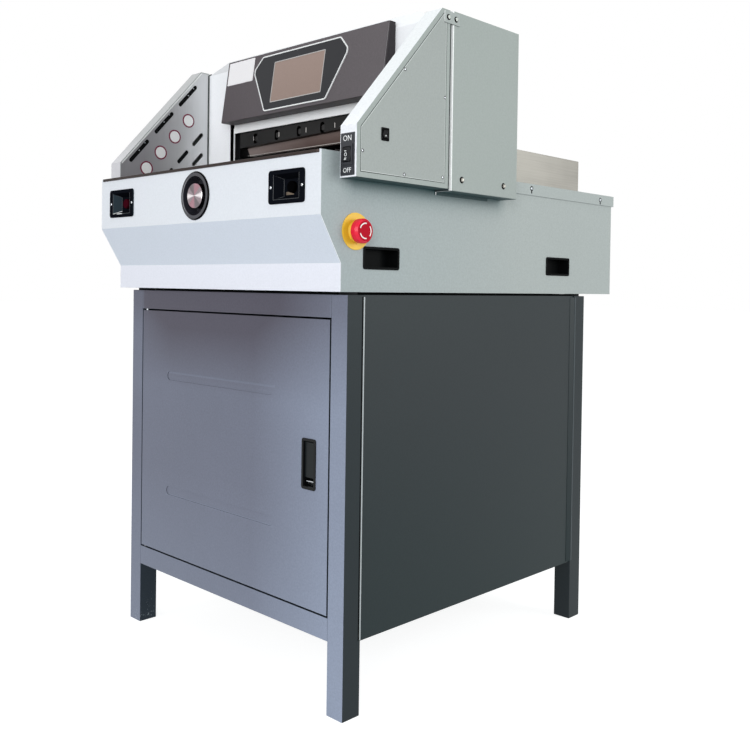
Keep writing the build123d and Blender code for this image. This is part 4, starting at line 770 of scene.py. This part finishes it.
# Each fastener stands on a dark ring of painted shade.
fastener_reach, seat_inner, seat_outer = 0.016, 1.7, 1.9
fasteners = []
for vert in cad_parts["cover_fasteners"].data.vertices:
    for points in fasteners:
        if (points[0] - vert.co).length < fastener_reach:
            points.append(vert.co)
            break
    else:
        fasteners.append([vert.co])
for index, points in enumerate(fasteners):
    middle = sum(points, Vector()) / len(points) * 1000
    radius = max(abs(point.z * 1000 - middle.z) for point in points)
    base = min(abs(point.x) for point in points) * 1000
    turned(f"fastener_seat_{index}", [(0, 0.12), (radius + seat_inner, 0.12), (radius + seat_outer, 0.02)],
           on_side(1 if middle.x > 0 else -1, base, middle.y, middle.z), recess_shade)
hatch_x = span("hatch_plates")[1].x
# Painted shade and highlight round each hatch: a black strip in the gap stands in for its shade, and a pale
# strip just inside the hatch's edge is a painted highlight.
gap_shade_strip_x = hatch_x - 1.35
corners = sorted({(round(v.co.y, 4), round(v.co.z, 4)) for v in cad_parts["hatch_plates"].data.vertices})
hull = geometry.convex_hull_2d([Vector(corner) for corner in corners])
gap_shade_strip = moulded_plastic("black_gap_shade_strip", "#1F2626", 0.85, gloss=0.15)
hatch_edge_highlight = moulded_plastic("painted_hatch_edge_highlight", "#D6DAD8", 0.4)
hatch_screws = ((-379.2, 914.0), (-285.3, 1057.2), (-184.9, 1027.3), (-188.1, 890.5), (-284.0, 885.9))
for side, word in both_sides:
    outline = [(side * corners[k][0] * 1000, corners[k][1] * 1000) for k in hull][::side]
    outline_strip(f"{word}_hatch_gap_shade_strip", outline, -0.1, 1.0, 1.4, on_side(side, gap_shade_strip_x, 0, 0), gap_shade_strip)
    outline_strip(f"{word}_hatch_rim_highlight", outline, -1.3, -0.2, 0.1, on_side(side, hatch_x, 0, 0), hatch_edge_highlight)
    for index, (y, z) in enumerate(hatch_screws):
        screw(f"hatch_screw_{word}_{index}", 2.1, on_side(side, hatch_x, y, z), chrome)


# Guard plates with their light bars
# Brushed stainless plates line the inside of the front covers, with a painted sheen that lightens
# towards the portal. Behind the slots runs a black bar with small lenses. White vinyl discs with a
# plain red ring are stuck between the slots. A painted highlight runs along each fold, and a black
# strip along each plate's rear edge stands in for the shade in the gap there.
guard_steel = brushed_metal(
    "brushed_guard_steel", "#D6D7D9", 0.42, "Z", line_mm=1.6, spread=0.06, metallic=0.4
)
tree = guard_steel.node_tree
at, out = sides(tree)
# Painted sheen: darker towards the front of the plates.
painted_sheen_sweep = add_node(tree, "ShaderNodeMapRange", {0: at[1], 1: -0.36, 2: -0.18}, interpolation_type="SMOOTHSTEP")
tinted(guard_steel, "#BEBBBF", (painted_sheen_sweep, 1.0, 0.0), blend_type="MULTIPLY")
finish(["guard_plates"], guard_steel, 0.25)
low, high = span("guard_plates")
guard_x = high.x - 1.5
vinyl = moulded_plastic("white_vinyl", "#FFFFFF", 0.4, gloss=0.8, depth=0.02)
lens = moulded_plastic("clear_lens", "#C9CED4", 0.15)
ring_red = moulded_plastic("dark_red_print", "#7C1C40", 0.5, gloss=0.2)
bar_abs = moulded_plastic("black_light_bar", "#060708", 0.5, gloss=0.1)
rear_gap_shade = moulded_plastic("black_rear_gap_shade", "#1A1D24", 0.7, gloss=0.1)
foot_z, strip_wide = span("front_table")[1].z, 1.3
fold_low, fold_high = Vector((0, -390.7, 954.0)), Vector((0, -194.9, 1176.7))
rim_long, rim_wide, rim_below = 294.0, 2.8, 1.5
fold = (fold_high - fold_low).normalized()
fold_up = Vector((0, -fold.z, fold.y))
fold_middle = (fold_low + fold_high) / 2 - fold_up * rim_below
slope = atan2(223.6, 170.1)
slot_along, slot_up = Vector((0, cos(slope), sin(slope))), Vector((0, -sin(slope), cos(slope)))
long_slots = ((-226.6, 1121.0), (-287.5, 1054.0), (-346.9, 985.5))
low_slots = ((-240.7, 983.3), (-278.6, 940.2), (-240.7, 938.2))
discs = ((-227.4, 1064.7), (-262.0, 1025.1), (-296.7, 986.3), (-330.6, 948.8))
disc_radius, ring_inner, ring_wide = 14.6, 12.2, 2.9
bar_x, lens_x, bar_tall, lens_pitch = guard_x + 5.6, guard_x + 2.6, 14, 22
for side, word in both_sides:
    slab(f"{word}_rear_gap_shade_strip", rounded_plate(strip_wide, high.z - foot_z - 6.0, 0.6), 0.9,
         on_side(side, guard_x, high.y - strip_wide / 2, (high.z + foot_z) / 2, outward=-1), rear_gap_shade)
    slab(f"{word}_guard_rim_highlight", rounded_plate(rim_long, rim_wide, 0.3), 0.15,
         facing(fold_middle + Vector((side * guard_x, 0, 0)), fold * -side, fold_up), white_glint)
    for index, (y, z) in enumerate(discs):
        place = on_side(side, guard_x, y, z, outward=-1)
        slab(f"{word}_vinyl_disc_{index}", disc(disc_radius, 40), 0.2, place, vinyl, edge=0.08)
        outline_strip(f"{word}_disc_ring_{index}", disc(ring_inner, 40), 0, ring_wide, 0.28, place, ring_red)
    for kind, slots, length in (("low", low_slots, 48), ("light", long_slots, 76)):
        for index, (y, z) in enumerate(slots):
            slab(f"{word}_{kind}_bar_{index}", rounded_plate(length, bar_tall, 2.0), 3.0,
                 facing((side * bar_x, y, z), slot_along * -side, slot_up), bar_abs)
    for index, (y, z) in enumerate(long_slots):
        for step in (0, lens_pitch):
            spot = Vector((side * lens_x, y, z)) + slot_along * step
            turned(f"{word}_light_lens_{index}_{step}", [(0, 0.9), (0.9, 0.6), (1.3, 0.0)],
                   facing(spot, slot_along * -side, slot_up), lens, steps=16)


# Power switch and label plate
# The black label plate holds a rocker with three places, marked in white. The small rocker on
# the hatch carries a ring.
def printed_word(name, word, size, place, made, body="machine"):
    """A printed word as thin raised ink."""
    ink_half = 0.06
    curve = bpy.data.curves.new(name, "FONT")
    curve.body = word
    curve.size = size
    curve.align_x = "CENTER"
    curve.align_y = "CENTER"
    curve.extrude = ink_half
    curve.resolution_u = 3
    holder = bpy.data.objects.new(name + "_drawn", curve)
    mesh = bpy.data.meshes.new_from_object(holder)
    bpy.data.objects.remove(holder)
    mesh.transform(place @ Matrix.Translation((0, 0, ink_half)))
    mesh.materials.append(made)
    mesh.name = name
    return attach(new_object(name, mesh), body)


finish(["switch_plate"], moulded_plastic("black_switch_abs", "#34353A", 0.4, gloss=0.3), 0.35)
finish(["main_rocker"], moulded_plastic("satin_rocker_abs", "#1D1D20", 0.25, gloss=0.4), 0.3)
finish(["side_rocker"], moulded_plastic("black_rocker_abs", "#0E0E10", 0.3, gloss=0.15), 0.3)
finish(["side_switch_frame"], moulded_plastic("black_frame_abs", "#070708", 0.5, gloss=0.03), 0.3)
label_left, label_wide, label_thick, word_shift, mark_thick = 341.7, 31.5, 0.8, -0.6, 0.12
word_x, label_y = label_left + label_wide / 2 + word_shift, span("right_front_cover")[0].y - label_thick
for place_word, word, size, z in (("upper", "ON", 12.5, 933.0), ("lower", "OFF", 10.5, 883.0)):
    printed_word(f"{place_word}_label_word", word, size, on_front(word_x, label_y, z), print_white)
low, high = span("main_rocker")
rocker_x, rocker_z = (low.x + high.x) / 2, (low.z + high.z) / 2
rocker_crown, rocker_half, mark_shift, zero_share = 2.4, 10.8, -2.6, 0.76
for name, height, rise in (("one_mark", 1.2, 5.4), ("two_mark_a", 1.1, -5.9), ("two_mark_b", 1.1, -7.9)):
    y = low.y + rocker_crown * (1 - abs(rise) / rocker_half)
    tilt = -rocker_crown if rise > 0 else rocker_crown
    slab(f"rocker_{name}", rounded_plate(4.6, height, 0.3), mark_thick,
         facing((rocker_x + mark_shift, y, rocker_z + rise), (1, 0, 0), (0, tilt, rocker_half)),
         print_white, "power_rocker")
outline_strip("rocker_zero_mark", disc(2.0, 24), 0.0, 0.9, mark_thick,
              on_front(rocker_x + mark_shift, low.y + rocker_crown * zero_share, rocker_z),
              print_white, "power_rocker")
low, high = span("side_rocker")
ring_sunk, ring_up, rocker_lean = 1.0, 4.0, 0.22
ring_middle = (high.x - ring_sunk, (low.y + high.y) / 2, low.z + ring_up)
outline_strip("side_rocker_mark", disc(1.0, 20), 0.0, 0.8, mark_thick,
              facing(ring_middle, (0, 1, 0), (rocker_lean, 0, 1)), print_white, "lamp_rocker")


# Portal cover and guard bar
# The portal is welded from folded sheet in white powder coat, and the guard bar in front of the
# knife is a bright white fold.
portal_coat, tree, coat = powder_coat(
    "portal_white_coat", "#FBFBFE", 0.44, cloud=0.015, gloss=0.4, speck=0.05
)
at, out = sides(tree)
# Painted shade: the cap's upward slopes are painted darker towards the left.
feed(tree, coat, {6: laid_over(tree, "#FBFBFE", "#D9D9DC", (out[2], 0.3, 0.5), (at[0], 0.05, -0.26))})
finish(["portal_cover"], portal_coat, 0.4)
finish(["guard_bar"], powder_coat("bright_white_coat", "#FFFFFF", 0.40, cloud=0.01, speck=0.05)[0], 0.4)


# Control panel
# A dark folded housing leans on the portal. On it lie a moulded bezel with a thin white line round
# it and a resistive touch screen, whose matt film shows a warm grey, painted lighter towards the top,
# inside a painted highlight round its edge. The housing itself carries painted light and shade.
def rounded_outline(points, corner, steps=6):
    """The closed outline through the points, its corners rounded."""
    outline = []
    for before, here, after in zip(points[-1:] + points[:-1], points, points[1:] + points[:1]):
        here = Vector(here)
        back, on = (Vector(before) - here).normalized(), (Vector(after) - here).normalized()
        half = back.angle(on) / 2
        centre = here + (back + on).normalized() * corner / sin(half)
        start = here + back * corner / tan(half) - centre
        end = here + on * corner / tan(half) - centre
        turn = atan2(start.x * end.y - start.y * end.x, start.dot(end))
        outline += [centre + Matrix.Rotation(turn * k / steps, 2) @ start for k in range(steps + 1)]
    return outline


housing_coat, tree, coat = powder_coat("dark_warm_powder_coat", "#5B5457", 0.48, cloud=0.03, gloss=0.2)
at, out = sides(tree)
# Painted light and shade: the housing is painted lighter to the right, and darker on faces that turn to the
# right.
front = laid_over(tree, "#534C50", "#625C5F", (at[0], -0.25, 0.22))
feed(tree, coat, {6: laid_over(tree, front, "#343033", (out[0], 0.5, 0.8))})
finish(["panel_housing"], housing_coat, 0.5)
finish(["panel_bezel"], moulded_plastic("grey_bezel_abs", "#323235", 0.42, gloss=0.15), 0.3)
film_sockets = {"Roughness": 0.34, "Specular IOR Level": 0.3}
screen_film, tree, shader, place = new_material("matt_screen_film", film_sockets)
at, out = sides(tree)
weave_mm = 1.5
weave = add_node(tree, "ShaderNodeTexNoise", {"Vector": place, "Scale": 1000 / weave_mm, "Detail": 1.0})
# Painted light: the film is painted lighter towards the top.
film = laid_over(tree, "#8B766D", "#9A847B", (at[2], 1.07, 1.16))
feed(tree, shader, {"Base Color": laid_over(tree, film, "#A38C82", (weave, 0, 1))})
finish(["touch_screen"], screen_film, 0.3)
low, high = span("panel_housing")
lean = atan2(19.4, 133.0)
on_panel = facing((0, low.y, low.z), (1, 0, 0), (0, sin(lean), cos(lean)))
fold_length, fold_inset = (high.z - low.z) / cos(lean), 0.9
# A painted highlight along the housing's right front fold.
slab("housing_fold_highlight", rounded_plate(0.8, fold_length - 4.0, 0.3), 0.15,
     on_panel @ Matrix.Translation((high.x - fold_inset, fold_length / 2, 0)),
     moulded_plastic("painted_housing_edge_highlight", "#9C989B", 0.4, gloss=0.4))
right_half = [(93, 9.3), (140, 92.5), (140, 101.5), (118, 124.3)]
hexagon = rounded_outline(right_half + [(-x, rise) for x, rise in reversed(right_half)], 6.0)
outline_strip("bezel_trim", hexagon, 0.0, 2.5, 1.8, on_panel,
              moulded_plastic("white_trim_abs", "#FFFFFF", 0.35))
screen_wide, screen_tall, screen_up = 154.4, 83.8, 66.4
window = [(x, screen_up + rise) for x, rise in rounded_plate(screen_wide, screen_tall, 1.0)]
# A painted highlight round the screen's edge.
outline_strip("screen_edge_highlight", window, -0.7, 0.9, 1.45, on_panel,
              moulded_plastic("screen_edge_highlight_abs", "#C9C5C3", 0.35))
name_plate_x, name_plate_up = -193.0, 106.0
slab("blank_name_plate", rounded_plate(88.6, 50.0, 2.0), 0.9,
     on_panel @ Matrix.Translation((name_plate_x, name_plate_up, 0)),
     moulded_plastic("white_enamelled_plate", "#FFFBFD", 0.35), edge=0.3)


# Gauge hood
# Stainless sheet, folded and open towards the portal, covers the back gauge's spindle. It is
# brushed from front to rear.
hood_steel = brushed_metal("brushed_hood_steel", "#94918B", 0.42, "Y", line_mm=2.4, spread=0.14)
finish(["gauge_hood"], hood_steel, 0.8)


# Machine frame and drive
# Machined iron castings, dark and slightly oily, carry the knife, clamp and gauge. The motors
# are in grey enamel.
def cast_iron(name, colour, roughness):
    """Machined grey iron under a film of oil, with its open grain."""
    grain_mm = 2.5
    made, tree, shader, place = new_material(name, {"Metallic": 0.6, "Specular IOR Level": 0.4})
    grain = add_node(
        tree, "ShaderNodeTexNoise",
        {"Vector": place, "Scale": 1000 / grain_mm, "Detail": 6.0, "Roughness": 0.7},
    )
    tint = laid_over(tree, shaded(colour, 0.7), colour, (grain, 0, 1))
    rough = add_node(tree, "ShaderNodeMapRange", {0: grain, 3: roughness - 0.1, 4: roughness + 0.1})
    bump = add_node(tree, "ShaderNodeBump", {"Height": grain, "Strength": 0.2, "Distance": 0.0003})
    feed(tree, shader, {"Base Color": tint, "Roughness": rough, "Normal": bump})
    return made


iron = cast_iron("oiled_cast_iron", "#3A3B3D", 0.5)
finish(["machine_frame"], iron, 1.0)
motor_enamel = powder_coat("grey_motor_enamel", "#4A4E55", 0.35, cloud=0.04)[0]
finish(["drive_gearmotor", "gauge_motor"], motor_enamel, 1.0)
finish(["drive_lever"], iron, 0.8)


# Knife
# The carrier is blackened steel with slots that show the heads of the blade bolts; bright strips
# beside the slots paint their glints. The blade below it is ground tool steel with a honed bevel,
# painted lighter to the left as a painted reflection and with a painted highlight along its lower
# edge. Oil dulls the steel's mirror.
blackened = moulded_plastic("black_oxide_steel", "#0F0E0E", 0.35, gloss=0.2, grain_mm=4.0)
finish(["knife_carrier", "pull_bar"], blackened, 0.5)
blade_steel = brushed_metal("ground_tool_steel", "#A2928D", 0.36, "Z", metallic=0.35)
at, out = sides(blade_steel.node_tree)
# Painted reflection: the blade is painted lighter towards the left.
tinted(blade_steel, "#B0A4A0", (at[0], -0.22, -0.02), blend_type="MULTIPLY")
finish(["blade"], blade_steel, 0.2)
finish(["blade_bolts"], moulded_plastic("black_bolt_steel", "#141212", 0.3, gloss=0.3), 0.5)
low, high = span("blade_bolts")
bolt_count, bolt_wide, glint_reach = 6, high.z - low.z, 6.1
slot_y = span("knife_carrier")[0].y
bright_steel_and_glints = plated_steel("bright_steel_and_painted_glints", "#D8D4D0", 0.2)
# Painted glints: a bright strip beside each bolt slot.
for index in range(bolt_count):
    x = low.x + bolt_wide / 2 + (high.x - low.x - bolt_wide) * index / (bolt_count - 1)
    slab(f"slot_glint_{index}", rounded_plate(1.5, 10.0, 0.6), 0.15,
         on_front(x - glint_reach, slot_y, (low.z + high.z) / 2), bright_steel_and_glints, "knife")
low, high = span("blade")
blade_long, blade_x = high.x - low.x, (low.x + high.x) / 2
bevel_in, bevel_rise = 9.0, 20.0
honed = atan2(bevel_in, bevel_rise)
# A painted highlight along the blade's lower edge.
slab("blade_edge_glint", rounded_plate(blade_long - 4.0, 0.7, 0.2), 0.1,
     on_front(blade_x, low.y, low.z + 0.9), bright_steel_and_glints, "knife")
slab("honed_edge", rounded_plate(blade_long - 1.0, 1.6, 0.3), 0.1,
     facing((blade_x, high.y - 0.5, low.z + 1.1), (1, 0, 0), (0, -sin(honed), cos(honed))), bright_steel_and_glints, "knife")


# Clamp, back gauge and its screw
# Machined aluminium combs that mesh with each other, the clamp's black anodised. A bright lead
# screw runs between two bright rods, and a bronze-dark worm wheel lifts the clamp.
finish(["back_gauge"], brushed_metal("milled_aluminium", "#8F9195", 0.42, "X", line_mm=1.5), 0.6)
finish(["clamp_beam"], brushed_metal("black_anodised_aluminium", "#2B2A2B", 0.4, "X", line_mm=1.5), 0.6)
finish(["clamp_spindle", "lead_screw"], zinc)
finish(["gauge_rails"], zinc, 0.5)
finish(["clamp_nut"], plated_steel("worm_wheel_bronze", "#8A6A3A", 0.4), 0.8)
